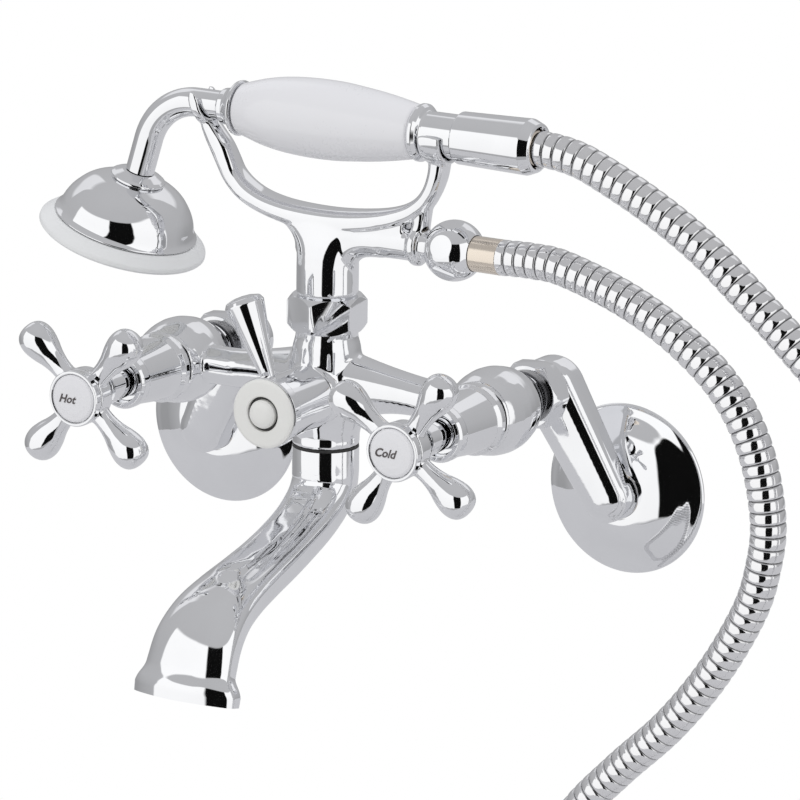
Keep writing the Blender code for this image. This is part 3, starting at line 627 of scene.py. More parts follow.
# Valves and cross handles
handle = {
    "plane": 149.3, "voxel": 0.42, "hotTurn": 3.5, "coldTurn": 11.3,
    "bonnet": [(8.3, 90.4), (14.8, 90.4, 0.2), (15.2, 91.1, 0.4), (15.2, 93.6, 0.7),
        (13.8, 95.4, 1), (11.5, 115.8, 0.8), (12.1, 117.4, 0.6), (12.1, 120.8, 0.7),
        (11.1, 122.2, 0.5), (9.2, 122.2, 0.3), (8.8, 118.6, 0.3), (4.6, 118.2, 0.2),
        (4.5, 114.5), (8.3, 114.5)],
    "arm": ((0, 3), (4.9, 3.2), (4.7, 8), (4.35, 12.5), (4.45, 16.5), (5.3, 21), (6.6, 25),
        (7.45, 28.6), (7.7, 31.4), (7.2, 34.4), (5.8, 36.8), (3.4, 38.2), (0, 38.7)),
    "hub": [(0, 118.9), (7, 118.9, 0.5), (7.2, 136, 4), (8.6, 141, 4), (11.7, 145.2, 2.5),
        (12, 153.2, 0.6), (0, 153.2)],
    "ring": [(10.5, 153.5), (11.8, 153.5, 0.2), (12.1, 154.2, 0.5), (12.1, 156.9, 0.5),
        (11.7, 157.4, 0.2), (10.9, 157.4, 0.15), (10.55, 157.1, 0.1)],
    "button": [(0, 153.7), (10.35, 153.7, 0.2), (10.35, 157.1, 0.6), (9.4, 157.85, 1.5),
        (6, 158.3, 4), (0, 158.4)]}
label = {
    "size": 5.0, "lift": 158.3, "slant": 0.34, "thick": 0.24, "bold": 0.09, "shift": -1.9}


def buildHandle(word, side):
    place = valvePlace(side)
    parts = [turned("hub", "chrome", handle["hub"], place=place, axis=forward)]
    for quarter in range(4):
        angle = math.radians(45.0 + 90.0 * quarter + handle[word + "Turn"])
        outward = (math.cos(angle), 0, math.sin(angle))
        parts.append(turned("arm", "chrome", flowing(handle["arm"], 3),
                            place=(place[0], -handle["plane"], place[2]), axis=outward, steps=48,
                            raw=True))
    cross = fused(word + "CrossHandle", "chrome", parts, voxel=handle["voxel"], rounds=10)
    finishPiece(cross, word + "_handle", word + "_cross_handle")
    where = {"place": place, "axis": forward}
    turnedPiece(word + "ButtonRing", "chrome", handle["ring"], word + "_handle",
                word + "_button_ring", **where)
    turnedPiece(word + "IndexButton", "porcelain", handle["button"], word + "_handle",
                word + "_index_button", **where)
    turnedPiece(word + "Bonnet", "chrome", handle["bonnet"], "body", word + "_bonnet", steps=96,
                **where)


def buildLabel(word, side):      # thin fired lettering on the button
    freeHands()
    bpy.ops.object.text_add()
    text = bpy.context.object
    text.data.body = word.capitalize()
    text.data.size = label["size"] * mm
    text.data.align_x, text.data.align_y = "CENTER", "CENTER"
    text.data.shear = label["slant"]
    text.data.offset = label["bold"] * mm
    text.data.extrude = label["thick"] * mm
    text.data.resolution_u = 3
    bpy.ops.object.convert(target="MESH")
    text = bpy.context.object
    centre = sum((Vector(corner) for corner in text.bound_box), Vector()) / 8
    text.data.transform(Matrix.Translation(-centre))
    bpy.ops.object.mode_set(mode="EDIT")
    bpy.ops.mesh.select_all(action="SELECT")
    bpy.ops.mesh.remove_doubles(threshold=1e-6)
    bpy.ops.object.mode_set(mode="OBJECT")
    place = (Vector(valvePlace(side)) + forward * label["lift"]
             + rightward * label["shift"])
    text.matrix_world = Matrix.Translation(place * mm) @ Matrix.Rotation(math.pi / 2, 4, "X")
    bake(text)
    dress(text, word + "Label", "ink")
    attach(text, word + "_handle")


for word, side in (("hot", -1), ("cold", 1)):
    buildHandle(word, side)
    buildLabel(word, side)
print("valves done")

# Diverter
diverter = {
    "leverOut": 119, "lean": 22.5,
    "knob": [(0, 97.8), (13.2, 97.8, 0.3), (13.6, 98.6, 0.4), (13.6, 123.6, 1.2), (15, 125.2, 0.6),
        (15.2, 129.6, 0.4), (14.7, 130, 0.2), (0, 129.8)],
    "lever": [(0, 8.4), (2.6, 8.4), (2.6, 13.2), (3.1, 13.4, 0.4), (8.2, 43.4, 1), (8.6, 45.8, 1),
        (7.4, 47.9, 1.6), (3.5, 49, 4), (0, 49.2)],
    "disc": [(7.4, 130.2), (14.2, 130.2, 0.2), (14.8, 130.7, 0.4), (14.6, 131.5, 0.5),
        (13.6, 132, 1.5), (8, 132.2, 0.4), (7.4, 131.8, 0.2)],
    "button": [(0, 130.2), (6.1, 130.2, 0.2), (6.1, 132.2, 0.5), (5.4, 133.6, 1.4),
        (3.4, 134.5, 3), (0, 134.9)], "gapShadeDisc": [(6, 130), (7.7, 130), (7.7, 130.5), (6, 130.5)]}


def buildDiverter():
    where = {"place": (0, 0, diverterZ), "axis": forward}
    knob = turned("diverterKnob", "chrome", diverter["knob"], steps=96, **where)
    finishPiece(knob, "diverter", "diverter_knob", "diverter_knob_screw")
    lean = math.radians(diverter["lean"])
    lever = turned("diverterLever", "chrome", diverter["lever"],
                   place=(0, -diverter["leverOut"], diverterZ),
                   axis=(-math.sin(lean), 0, math.cos(lean)), steps=80)
    finishPiece(lever, "diverter", "diverter_lever")
    turnedPiece("diverterDisc", "white", diverter["disc"], "diverter", "diverter_disc", steps=96,
                **where)
    turnedPiece("diverterDiscButton", "white", diverter["button"], "diverter",
                "diverter_disc_button", **where)
    # painted shade: a dark rubber-finished disc put behind the button's gap, where only shade falls
    gapShadeDisc = turned("diverterGapShade", "rubber", diverter["gapShadeDisc"], raw=True, **where)
    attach(gapShadeDisc, "diverter")      # painted shade: a dark disc in the gap round the button stands in for its shade


buildDiverter()
print("diverter done")

# Spout
spout = {      # path rows: Y, Z, half width, half height, squareness
    "path": ((-81.4, 21.8, 14.3, 14.3, 2), (-81.4, 16, 14.3, 14.3, 2),
        (-81.4, 10.6, 14.3, 14.2, 2), (-82.3, 4.9, 14, 13.3, 2.1), (-87.6, -1.9, 13.7, 11.6, 2.3),
        (-97.6, -8.4, 13.4, 9.9, 2.6), (-110.6, -13.8, 13.4, 8.9, 2.9),
        (-125, -18.6, 13.8, 8.2, 3.2), (-141, -22.9, 14.6, 7.6, 3.5),
        (-156.6, -27.2, 15.9, 7.1, 3.8), (-169.8, -32.2, 17.7, 6.6, 4.2),
        (-179.2, -39.8, 19.2, 6.2, 4.6), (-184.6, -49.4, 20.1, 5.6, 4.8),
        (-187, -56, 20.8, 4.8, 5), (-188.6, -62.6, 20.8, 4.2, 5)), "sides": 112, "steps": 9,
    "wall": 2.2, "lip": 5.2, "lipOut": 0.25, "flare": 3.2, "lipBlend": (0.9, 0.3),
    "flareBlend": (1, 7), "top": (0.05, 0.30), "facing": (-0.2, 0.7),
    "panel": {"from": 0.19, "to": 0.68, "share": 0.37, "rise": 1.7, "edge": 0.075, "groove": 0.64,
        "width": 0.10, "deep": 0.45, "soft": 0.05, "ends": (0.02, 0.03), "curl": 0.06},
    "bow": ((0, 0), (0.28, 0), (0.42, 0.9), (0.53, 2.4), (0.63, 4.3), (0.71, 5.3), (0.79, 5.6),
        (0.90, 5.3), (1, 5.3))}


def smoothStep(low, high, value):
    t = min(max((value - low) / (high - low), 0.0), 1.0)
    return t * t * (3 - 2 * t)


def lookUp(table, value):      # the amount that a table of (share, amount) gives
    for (a, first), (b, second) in zip(table, table[1:]):
        if value <= b:
            return first + (second - first) * max(value - a, 0.0) / (b - a)
    return table[-1][1]


def spoutRings(thinner=0.0):      # outer skin, or the inner one when thinner
    dense = flowing(spout["path"], spout["steps"])
    centres = [Vector((0, row[0], row[1])) for row in dense]
    rings, run = [], [0.0]
    for a, b in zip(centres, centres[1:]):
        run.append(run[-1] + (b - a).length)
    panel, edge = spout["panel"], spout["lip"]
    (lipIn, lipOut), (flareIn, flareOut) = spout["lipBlend"], spout["flareBlend"]
    bow = flowing(spout["bow"], 12)
    for index, row in enumerate(dense):
        before, after = centres[max(index - 1, 0)], centres[min(index + 1, len(centres) - 1)]
        ahead = (after - before).normalized()
        rise = rightward.cross(ahead)
        if index == 0:
            rise = Vector((0, 1, 0))
        share = run[index] / run[-1]
        left = run[-1] - run[index]
        lip = (spout["lipOut"] * (1 - smoothStep(edge - lipIn, edge + lipOut, left))
               + spout["flare"] * (1 - smoothStep(edge - flareIn, edge + flareOut, left)))
        ring = []
        for point in oval(centres[index], rightward, rise, row[2] - thinner, row[3] - thinner,
                          row[4], spout["sides"]):
            offset = point / mm - centres[index]
            across, high = offset.dot(rightward) / row[2], -offset.dot(rise) / row[3]
            if not thinner:
                onTop = smoothStep(*spout["top"], high)
                inside = 1 - smoothStep(panel["share"], panel["share"] + panel["edge"], abs(across))
                curl = panel["curl"] * abs(across)
                length = (smoothStep(panel["from"], panel["from"] + panel["soft"], share)
                          * (1 - smoothStep(panel["to"] - panel["ends"][0] - curl,
                                            panel["to"] + panel["ends"][1] - curl, share)))
                valley = math.exp(-((abs(across) - panel["groove"]) / panel["width"]) ** 2)
                push = offset.normalized() * lip
                push -= rise * (panel["rise"] * inside - panel["deep"] * valley) * onTop * length
                offset += push
            facing = smoothStep(*spout["facing"], high)
            offset -= rise * facing * lookUp(bow, share) * (1 - min(abs(across), 1) ** 2)
            ring.append((centres[index] + offset) * mm)
        rings.append(ring)
    return rings


def buildSpout():
    outer = spoutRings()
    inner = spoutRings(spout["wall"])
    lipInner = [p.lerp(q, 0.12) for p, q in zip(outer[-1], inner[-1])]
    rings = outer + [lipInner] + list(reversed(inner))
    shell = skinned("spoutShell", "castChrome", rings, capped=False, sharp=50.0)
    pick(shell)      # the shell's top is closed between its outer and inner wall
    bpy.ops.object.mode_set(mode="EDIT")
    openEdges()
    bpy.ops.mesh.bridge_edge_loops()
    bpy.ops.mesh.select_mode(type="VERT")
    closeEdit()
    dress(shell, "spoutShell", "castChrome", 50.0)
    finishPiece(shell, "spout_body", "spout")


buildSpout()
print("spout done")

# Wall couplings
coupling = {      # section rows: how far in, share of the thickness
    "topRadius": 13.2, "lowRadius": 10.6, "back": 18.5, "lowBack": 12.4, "front": 34.6,
    "lowFront": 26.5, "inletX": 102.5,
    "sections": ((4, 0), (1.6, 0), (0.5, 0.04), (0, 0.12), (0, 0.3), (0, 0.55), (0.35, 0.68),
        (1.1, 0.79), (2.3, 0.87), (4, 0.94), (6, 0.985), (8.3, 1), (9.8, 1)),
    "spigot": [(0, 24), (8.2, 24), (8.2, 46.6, 0.5), (0, 46.6)],
    "seat": [(0, 9.25), (11, 9.25, 0.4), (11.3, 10.2, 0.8), (10.6, 22), (0, 22)],
    "nut": {"flats": 26.6, "low": 35, "high": 47, "roll": 30, "chamfer": 2.6},
    "bore": [(0, 30), (8.5, 30), (8.5, 50), (0, 50)],
    "thread": {"inside": 6.2, "root": 11.1, "crest": 11.8, "low": 47, "high": 50.5, "turns": 4,
        "pitch": 0.85},
    "dome": ((11.6, 11.9), (15, 11.5), (20, 10.3), (25, 8.3), (29.5, 5.7), (33, 3.6), (35.6, 2.4),
        (36.9, 1.6), (37.4, 0.7), (37.2, 0)),
    "inside": ((31, 0), (31, 3), (26, 6.4), (20, 8.6), (11.6, 10.2)),
    "nipple": {"back": -10, "turns": 6, "pitch": 1.8, "root": 8.5, "crest": 9.2},
    "nippleEnd": [(8.5, 0.9), (8.5, 2), (9.2, 2.4), (9.2, 9.2), (10.4, 9.3), (10.4, 12.1),
        (6.2, 12.1)]}


def armOutline(side, shrink, backShare):      # one ring round a swing arm
    upper = Vector((side * valve["x"], 0, valve["z"]))
    lower = Vector((side * coupling["inletX"], 0, 0))
    run = (lower - upper).normalized()
    across = Vector((run.z, 0, -run.x))
    ring = []
    for centre, radius, start in ((upper, coupling["topRadius"], 180.0),
                                  (lower, coupling["lowRadius"], 0.0)):
        for step in range(25):
            angle = math.radians(start + 180.0 * step / 24)
            point = centre + (across * math.cos(angle) + run * math.sin(angle)) * (radius - shrink)
            share = (point - upper).dot(run) / (lower - upper).length
            back = coupling["back"] + (coupling["lowBack"] - coupling["back"]) * share
            front = coupling["front"] + (coupling["lowFront"] - coupling["front"]) * share
            ring.append(Vector((point.x, -(back + (front - back) * backShare), point.z)) * mm)
    return ring


def buildCoupling(word, side):
    body = word + "_arm"
    where = {"place": valvePlace(side), "axis": forward}
    inlet = {"place": (side * coupling["inletX"], 0, 0), "axis": forward}
    arm = skinned("arm", "castChrome", [armOutline(side, s, b) for s, b in coupling["sections"]])
    spigot = turned("spigot", "castChrome", coupling["spigot"], **where)
    seat = turned("seat", "castChrome", coupling["seat"], **inlet)
    arm = fused(word + "SwingArm", "castChrome", [arm, spigot, seat], voxel=0.5, rounds=8)
    finishPiece(arm, body, word + "_swing_arm")
    nut = hexBlock(word + "UnionNut", "chrome", **coupling["nut"], **where)
    bore = turned("bore", "chrome", coupling["bore"], raw=True, **where)
    finishPiece(dress(carve(nut, bore), word + "UnionNut", "chrome", 30.0), "body",
                word + "_union_nut")
    cut = coupling["thread"]
    threads = [(cut["inside"], cut["low"]), (cut["crest"], cut["low"])]
    for turn in range(cut["turns"]):
        low = cut["low"] + 0.1 + turn * cut["pitch"]
        threads += [(cut["crest"], low + 0.1), (cut["root"], low + 0.42),
                    (cut["crest"], low + 0.75)]
    threads += [(cut["crest"], cut["high"]), (cut["inside"], cut["high"])]
    turnedPiece(word + "UnionThread", "thread", threads, "body", word + "_union_seal", raw=True,
                **where)
    flange = flowing(coupling["dome"], 5) + list(coupling["inside"])
    turnedPiece(word + "WallFlange", "chrome", flange, body, word + "_wall_flange", steps=144,
                raw=True, **inlet)
    pipe = coupling["nipple"]
    nipple = [(6.2, pipe["back"])]
    for turn in range(pipe["turns"]):
        low = pipe["back"] + turn * pipe["pitch"]
        nipple += [(pipe["root"], low), (pipe["crest"], low + pipe["pitch"] / 2)]
    turnedPiece(word + "InletNipple", "brass", nipple + coupling["nippleEnd"], body,
                word + "_inlet_nipple", raw=True, sharp=25.0, **inlet)


for word, side in (("left", -1), ("right", 1)):
    buildCoupling(word, side)
print("wall couplings done")

# Riser and cradle
cradle = {
    "path": ((-59.6, 155, 5, 3.4), (-56.4, 149.8, 5.2, 4.4), (-52.8, 144.6, 5.6, 5),
        (-49.8, 139.2, 6, 4.9), (-46.6, 133.6, 6.4, 4.6), (-41, 128.4, 6.9, 4.7),
        (-33, 124.4, 7.2, 4.7), (-22, 121.6, 7.4, 5), (-9, 120, 7.6, 5.6), (5, 119.8, 7.6, 5.8),
        (19, 121.4, 7.4, 5.4), (31, 124.2, 7, 4.7), (40, 127.8, 6.5, 4.2), (46.4, 132.4, 6, 3.8),
        (50.4, 138, 5.6, 3.6), (52.8, 144, 5.6, 3.8), (53.8, 149, 5.6, 4), (54, 153, 5.6, 4.2)),
    "stem": [(0, 80), (11.6, 80), (11.6, 88.3, 0.2), (12.9, 88.3, 0.3), (13.2, 88.9, 0.3),
        (13.2, 102, 2), (11, 108), (0, 108)],
    "trunk": ((95, 13.1, 13.1, 0), (100, 13.2, 13.1, 0), (104.5, 13.3, 12.9, 0),
        (108.5, 13.9, 12.2, 0), (112, 15.4, 11, -0.6), (115, 18, 9.7, -1.2),
        (117.5, 21.5, 8.6, -1.6), (119.6, 25.5, 7.7, -1.8), (121, 28, 7, -2)),
    "outlet": [(0, -6), (8.4, -6), (7, 20, 8), (7, 42, 1), (8.7, 43.2, 0.6), (8.7, 46.2, 0.6),
        (6.3, 46.8, 0.3), (6.3, 57), (0, 57)],
    "yokes": ((-66.6, -61.4, 6.75, 8.8, 6, -3.4), (48.9, 60, 9.8, 12.2, 1.5, 0)),
    "yokeSteps": (48, 6),
    "fin": ((-13, 104, 119.5, 6), (-4, 107.6, 120, 6.6), (8, 107.7, 120, 6.8),
        (20, 107.7, 121, 6.6), (31, 107.8, 123.6, 6.2), (39, 108, 126.4, 5.6)),
    "elbow": ((5.6, 92), (5.9, 100), (8.4, 107.2), (13.6, 111.8), (20, 113.8), (28, 114.4)),
    "elbowRadius": 7.3,
    "web": {"x": 43.5, "z": 114, "across": 4, "up": 20, "wide": 5, "thick": 4.5, "taper": 1.5},
    "nut": {"flats": 29.6, "low": 72.8, "high": 87.9, "roll": 5, "chamfer": 3},
    "bore": [(0, 65), (13.6, 65), (13.6, 83), (12, 83), (12, 92), (0, 92)]}


def buildCradle():
    where = {"place": (0, riserY, 0)}
    dense = flowing(cradle["path"], 5)
    centres = [Vector((x, riserY, z)) for x, z, _, _ in dense]
    rings = []
    for index, (_, _, wide, high) in enumerate(dense):
        before, after = centres[max(index - 1, 0)], centres[min(index + 1, len(centres) - 1)]
        ahead = (after - before).normalized()
        rings.append(oval(centres[index], (0, 1, 0), ahead.cross(Vector((0, 1, 0))), wide, high,
                          2.4, 32))
    parts = [skinned("crescent", "castChrome", rings),
             turned("stem", "castChrome", cradle["stem"], **where),
             turned("outlet", "castChrome", cradle["outlet"], place=(0, riserY, outletZ),
                    axis=rightward)]
    web = cradle["web"]
    rings = [oval((web["x"] + web["across"] * t, riserY, web["z"] + web["up"] * t), (0, 1, 0),
                  rightward, web["wide"], web["thick"] - web["taper"] * t, count=24)
             for t in (0, 0.2, 0.4, 0.6, 0.8, 1.0)]
    parts.append(skinned("web", "castChrome", rings))
    trunk = [oval((shift, riserY, z), rightward, (0, 1, 0), wide, deep, count=40)
             for z, wide, deep, shift in flowing(cradle["trunk"], 3)]
    parts.append(skinned("trunk", "castChrome", trunk))
    fin = [oval((x, riserY, (low + high) / 2), (0, 1, 0), upward, wide, (high - low) / 2, 3.4, 32)
           for x, low, high, wide in flowing(cradle["fin"], 4)]
    parts.append(skinned("fin", "castChrome", fin))
    elbow = [Vector((x, riserY, z)) for x, z in flowing(cradle["elbow"], 4)]
    parts.append(skinned("elbow", "castChrome", pipeRings(elbow, cradle["elbowRadius"])))
    for low, high, inner, outer, horn, lean in cradle["yokes"]:      # forks under the hand shower
        thick = (outer - inner) / 2
        middle = (outer + inner) / 2
        centre = Vector(((low + high) / 2, riserY, handsetZ))
        steps, straight = cradle["yokeSteps"]
        rings = []
        for step in range(steps + 1):      # straight up each leg and round below
            leg = min(step, steps - step)
            lift = max(0.0, (straight - leg) / straight) * horn
            turn = min(max((step - straight) / (steps - 2 * straight), 0.0), 1.0)
            angle = math.radians(180.0 + 180.0 * turn)
            spoke = Vector((0, math.cos(angle), math.sin(angle)))
            trim = 0.45 + 0.55 * min(leg / 4.0, 1.0) ** 0.6
            sway = -lean * min(leg / 14.0, 1.0)
            rings.append(oval(centre + spoke * middle + upward * lift + rightward * sway,
                              rightward, spoke, (high - low) / 2 * trim, thick * trim, 2.6, 32))
        parts.append(skinned("yoke", "castChrome", rings))
    piece = fused("cradle", "castChrome", parts, voxel=0.5, rounds=18)
    finishPiece(piece, "body", "cradle")
    nut = hexBlock("riserUnionNut", "chrome", axis=upward, **cradle["nut"], **where)
    bore = turned("bore", "chrome", cradle["bore"], raw=True, **where)
    finishPiece(dress(carve(nut, bore), "riserUnionNut", "chrome", 30.0), "body", "riser_union_nut")


buildCradle()
print("cradle done")

# Hand shower
shower = {
    "tube": 6.2, "bend": 26, "bendX": -65.7, "tilt": 17, "drop": 15.5, "gap": 0.3,
    "frontFerrule": [(6.5, -52.4), (7.3, -52.4, 0.3), (7.7, -51.6, 0.4), (8, -49.4, 1),
        (9.2, -47.2, 1.5), (11.6, -45, 0.8), (11.9, -43.9, 0.5), (11.6, -43.2, 0.2), (6.5, -43.2)],
    "grip": ((4.6, -42.9), (9.9, -42.9), (10.9, -42.2), (11.6, -40.2), (12.7, -36.4), (14, -31.6),
        (15.3, -25), (16.2, -17.5), (16.7, -9), (16.8, -1), (16.5, 7), (15.8, 14.5), (14.8, 23.5),
        (13.5, 32), (12.2, 39), (11.4, 42.6), (10.6, 43.6), (4.6, 43.6)),
    "rearFerrule": [(4.5, 43.9), (11.5, 43.9, 0.3), (12.2, 44.8, 0.5), (12.2, 46.2, 0.6),
        (11, 47.6, 0.8), (9.6, 48.4, 0.5), (9.4, 49.4, 0.5), (9.4, 63.4), (4.5, 63.4)],
    "nut": [(4.5, 63.8), (10.5, 63.8, 0.2), (11, 64.5, 0.4), (11.7, 93.6, 0.5), (11.8, 96.6, 1),
        (10.2, 100.6, 0.6), (9, 101.2, 0.3), (8, 99.8, 0.2), (7.9, 68), (4.5, 68)],
    "upperFerrule": [(4, 68.6), (7.3, 68.6), (7.3, 99.6, 0.5), (6.6, 100.3, 0.3), (4, 100.3)],
    "collar": [(0, 0.1), (6.5, 0.1, 0.1), (7.6, 0.5, 0.8), (10.6, 1.9, 1.5), (11.9, 2.8, 0.5),
        (12, 3.6, 0.3), (11.4, 4.1), (0, 4.1)],
    "bell": ((11.3, 4.3), (13.4, 4.9), (16.5, 6.1), (19.8, 7.9), (22.6, 10.1), (24.9, 12.7),
        (26.9, 15.5), (28.3, 18.3), (29.1, 20.6), (29.8, 22.4), (30.7, 23.7), (31.3, 24.4),
        (31.3, 24.8), (30.7, 25.1)),
    "face": [(28.6, 25.4), (31.6, 25.4, 0.4), (33.4, 26.6, 1.5), (36.6, 29.4, 1.2),
        (36.9, 31.2, 0.6), (35.8, 32.2, 0.5), (30.6, 32, 0.8), (28.7, 30.3, 0.4)],
    "plate": [(0, 27.2), (28.4, 27.2, 0.3), (28.4, 30.2, 0.5), (24, 30.8, 4), (0, 31)],
    "nozzle": [(0, 30.4), (1.15, 30.4), (0.85, 31.9), (0.55, 31.9), (0.45, 31.3), (0, 31.3)],
    "wall": (1.6, 0.9), "mouth": (28.9, 25.1),
    "nozzleRings": ((5.5, 6), (11, 12), (16.5, 18), (22, 24))}


def headAxis():
    tilt = math.radians(shower["tilt"])
    return Vector((-math.sin(tilt), 0, -math.cos(tilt)))


def neckPoints():
    turn = 90.0 - shower["tilt"]
    middle = Vector((shower["bendX"], riserY, handsetZ - shower["bend"]))
    points = [Vector((x, riserY, handsetZ)) for x in (-44.5, -50.0, -56.0, -61.0)]
    for step in range(25):
        angle = math.radians(90.0 + turn * step / 24)
        points.append(middle + Vector((math.cos(angle), 0, math.sin(angle))) * shower["bend"])
    last = points[-1]
    for share in (0.33, 0.66, 1.0):
        points.append(last + headAxis() * (shower["drop"] - shower["gap"]) * share)
    return points


def buildShower():
    grip = {"place": (0, riserY, handsetZ), "axis": rightward}
    points = neckPoints()
    neck = skinned("showerNeck", "chrome", pipeRings(points, shower["tube"], 40))
    finishPiece(neck, "handset", "gooseneck")
    shape = shower["grip"][:1] + tuple(flowing(shower["grip"][1:-1], 4)) + shower["grip"][-1:]
    turnedPiece("frontFerrule", "chrome", shower["frontFerrule"], "handset", "front_ferrule",
                **grip)
    turnedPiece("porcelainGrip", "porcelain", shape, "handset", "grip", steps=96, raw=True, **grip)
    for name, finish, profile, node in (
            ("rearFerrule", "chrome", "rearFerrule", "rear_ferrule"),
            ("upperHoseNut", "chrome", "nut", "upper_hose_nut"),
            ("upperHoseFerrule", "nickel", "upperFerrule", "upper_hose_ferrule")):
        turnedPiece(name, finish, shower[profile], "handset", node, **grip)
    top = points[-1] + headAxis() * shower["gap"]
    head = {"place": tuple(top), "axis": headAxis()}
    turnedPiece("bellCollar", "chrome", shower["collar"], "handset", "bell_collar", **head)
    outside = flowing(shower["bell"], 4)
    thin, deep = shower["wall"]
    inside = [(r - thin, h + deep) for r, h in reversed(outside[:-2])]
    turnedPiece("showerBell", "chrome", outside + [shower["mouth"]] + inside, "handset", "bell",
                steps=128, raw=True, **head)
    turnedPiece("faceRing", "ringWhite", shower["face"], "handset", "face_ring", steps=128, **head)
    buildPlate(head)


def buildPlate(head):      # spray plate with small nozzles in rings
    plate = turned("plate", "white", shower["plate"], steps=96)
    tip = turned("tip", "white", shower["nozzle"], raw=True, steps=12)
    tips = []
    for radius, count in shower["nozzleRings"]:
        for step in range(count):
            angle = math.tau * (step + 0.5 * (count % 4 == 0)) / count
            copy = tip.copy()
            copy.data = tip.data.copy()
            bpy.context.scene.collection.objects.link(copy)
            spot = Vector((radius * math.cos(angle), radius * math.sin(angle), 0))
            copy.data.transform(Matrix.Translation(spot * mm))
            tips.append(copy)
    bpy.data.objects.remove(tip)
    pick(plate, *tips)
    bpy.ops.object.join()
    plate = bpy.context.object
    plate.matrix_world = along(head["axis"], head["place"])
    bake(plate)
    dress(plate, "sprayPlate", "white")
    finishPiece(plate, "handset", "spray_plate")


buildShower()
print("hand shower done")

# Lower hose end
lowerEnd = {
    "ball": 12.9, "ballX": 61.6, "flats": 23.8, "roll": 12,
    "bore": [(0, 30), (7.7, 30), (7.7, 90), (0, 90)],
    "ferrule": [(4, 59.3), (7.5, 59.3), (7.5, 84.6, 0.5), (6.9, 85.2, 0.3), (4, 85.2)]}


def buildLowerEnd():
    where = {"place": (0, riserY, outletZ), "axis": rightward}
    outline = []
    for step in range(41):      # ball cut square at both ends
        angle = math.radians(-90 + 180 * step / 40)
        outline.append((lowerEnd["ball"] * math.cos(angle),
                        lowerEnd["ballX"] + lowerEnd["ball"] * math.sin(angle)))
    low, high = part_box("lower_hose_nut")[0].x / mm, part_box("lower_hose_nut")[1].x / mm
    inner = [p for p in outline if low < p[1] < high]
    reach = [math.sqrt(max(lowerEnd["ball"] ** 2 - (x - lowerEnd["ballX"]) ** 2, 1.0))
             for x in (low, high)]
    ball = turned("ball", "chrome", [(0, low), (reach[0], low)] + inner
                  + [(reach[1], high), (0, high)], raw=True, steps=96)
    bpy.ops.object.select_all(action="DESELECT")
    bpy.ops.mesh.primitive_cylinder_add(vertices=6, radius=lowerEnd["flats"] / math.sqrt(3) * mm,
                                        depth=60 * mm, location=(0, 0, lowerEnd["ballX"] * mm))
    prism = bpy.context.object
    bore = turned("bore", "chrome", lowerEnd["bore"], raw=True)
    carve(ball, prism, operation="INTERSECT")
    carve(ball, bore)
    bevelled(ball, width=0.22, angle=14.0, segments=2)
    ball.matrix_world = along(rightward, (0, riserY, outletZ), lowerEnd["roll"])
    bake(ball)
    dress(ball, "lowerHoseNut", "chrome", 12.0)
    finishPiece(ball, "body", "lower_hose_nut")
    turnedPiece("lowerHoseFerrule", "nickel", lowerEnd["ferrule"], "body", "lower_hose_ferrule",
                **where)


buildLowerEnd()
print("hose end done")

# Hidden CAD parts keep their shape
for node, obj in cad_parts.items():
    if obj.hide_render:
        continue
    kind = "brass"
    if "washer" in node or "ring" in node:
        kind = "rubber"
    if "screw" in node:
        kind = "steel"
    obj.data.materials.clear()
    obj.data.materials.append(finishes[kind])
print("all pieces placed")

# Studio
studio = {
    "floorZ": 0.4688, "behind": 2.6, "ahead": 0.72, "left": -1.3, "right": 1.6, "grey": 0.46,
    "panel": 1.05, "gap": 0.004, "low": -31.0, "high": 36.0, "gapHalf": 21.0, "from": -92.0,
    "to": 78.0, "back": (128.0, 166.0), "backHeight": (24.0, 52.0, 3.0), "backLight": 0.55,
    "dusk": (110.0, 200.0, 14.0), "duskHeight": (-40.0, 2.0, 10.0), "duskDepth": 0.10,
    "slope": 0.07, "softSlope": 0.14, "softLevel": 0.86, "floorRough": 0.9,
    "tint": (0.988, 0.99, 1.012), "white": (1.0, 1.0, 1.0), "floor": (0.62, 0.62, 0.63)}


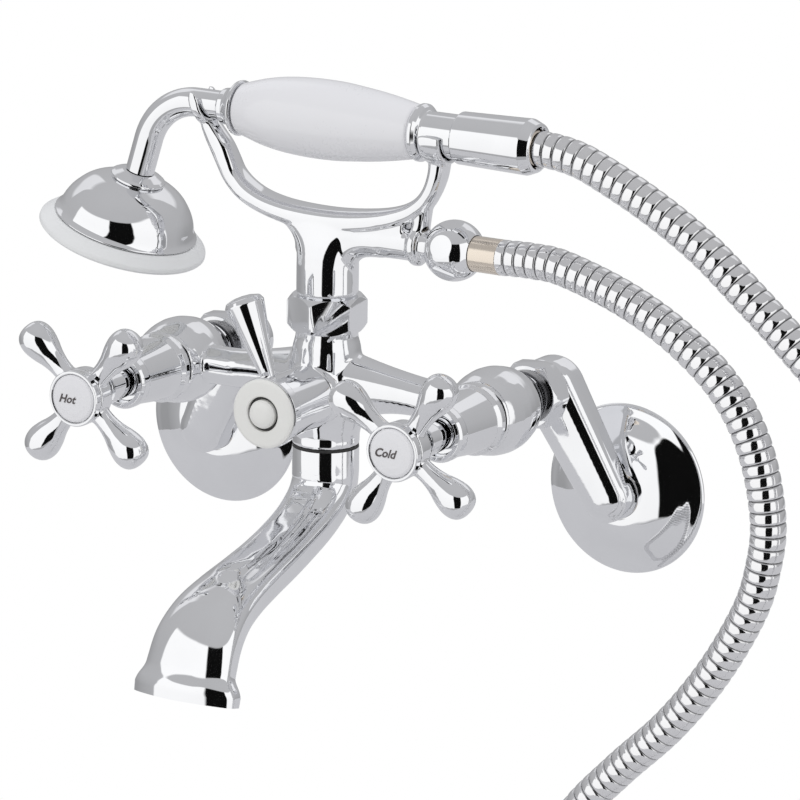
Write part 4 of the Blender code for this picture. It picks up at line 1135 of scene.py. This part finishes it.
def buildStudio():
    world = bpy.data.worlds.new("studioSky")
    bpy.context.scene.world = world
    world.use_nodes = True
    tree = world.node_tree
    tree.nodes.clear()
    heading = addNode(tree, "ShaderNodeTexCoord", outlet=0)
    x, y, z = heading.part(0), heading.part(1), heading.part(2)
    turn = math.radians(cameraSetup["azimuth"])
    front = y * -math.cos(turn) + x * math.sin(turn)
    side = x * math.cos(turn) + y * math.sin(turn)
    azimuth = side.math("ARCTAN2", front) * (180 / math.pi)
    height = z.math("ARCSINE") * (180 / math.pi)

    def within(value, low, high, soft=1.2):
        rise = value.node("ShaderNodeMapRange", Value=value, From_Min=low - soft,
                          From_Max=low + soft, To_Min=0.0, To_Max=1.0)
        fall = value.node("ShaderNodeMapRange", Value=value, From_Min=high - soft,
                          From_Max=high + soft, To_Min=1.0, To_Max=0.0)
        return rise * fall

    band = within(height, studio["low"], studio["high"])
    lit = within(azimuth, studio["from"], studio["to"]) * band
    gap = within(azimuth, -studio["gapHalf"], studio["gapHalf"]) * band
    behind = azimuth.math("ABSOLUTE")
    back = (within(behind, *studio["back"]) * within(height, *studio["backHeight"])
            * studio["backLight"])
    dusk = (within(behind, *studio["dusk"]) * within(height, *studio["duskHeight"])
            * studio["duskDepth"])
    base = z * studio["slope"] + studio["grey"] - dusk
    glow = base + (lit + back) * (studio["panel"] - studio["grey"])
    glossy = glow * (1.0 - gap) + gap * studio["gap"]
    soft = z * studio["softSlope"] + studio["softLevel"]
    path = tree.nodes.new("ShaderNodeLightPath")
    isCamera = Wire(tree, path.outputs["Is Camera Ray"])
    isGlossy = Wire(tree, path.outputs["Is Glossy Ray"])
    level = (soft * (1.0 - isGlossy) + glossy * isGlossy) * (1.0 - isCamera) + isCamera * 1.0
    output = tree.nodes.new("ShaderNodeOutputWorld")
    tint = mixColour((lit + isCamera).math("MINIMUM", 1.0), studio["tint"], studio["white"])
    sky = addNode(tree, "ShaderNodeBackground", Color=tint, Strength=level)
    tree.links.new(sky.socket, output.inputs["Surface"])


def buildFloor():
    freeHands()
    bpy.ops.mesh.primitive_grid_add(x_subdivisions=12, y_subdivisions=12, size=1)
    floor = bpy.context.object
    floor.name = "studioFloor"
    wide, length = studio["right"] - studio["left"], studio["behind"] + studio["ahead"]
    floor.scale = (wide, length, 1)
    floor.location = (studio["left"] + wide / 2, length / 2 - studio["ahead"],
                      -studio["floorZ"])
    cover = bpy.data.materials.new("paleFloor")
    cover.use_nodes = True
    tree = cover.node_tree
    shader = tree.nodes["Principled BSDF"]
    shader.inputs["Base Color"].default_value = (*studio["floor"], 1.0)
    shader.inputs["Roughness"].default_value = studio["floorRough"]
    path = tree.nodes.new("ShaderNodeLightPath")
    white = addNode(tree, "ShaderNodeEmission", Color=(*studio["white"], 1.0), Strength=1.0)
    mixed = tree.nodes.new("ShaderNodeMixShader")
    tree.links.new(path.outputs["Is Camera Ray"], mixed.inputs[0])
    tree.links.new(shader.outputs[0], mixed.inputs[1])
    tree.links.new(white.socket, mixed.inputs[2])
    tree.links.new(mixed.outputs[0], tree.nodes["Material Output"].inputs[0])
    floor.data.materials.append(cover)


buildStudio()
buildFloor()
print("studio ready")
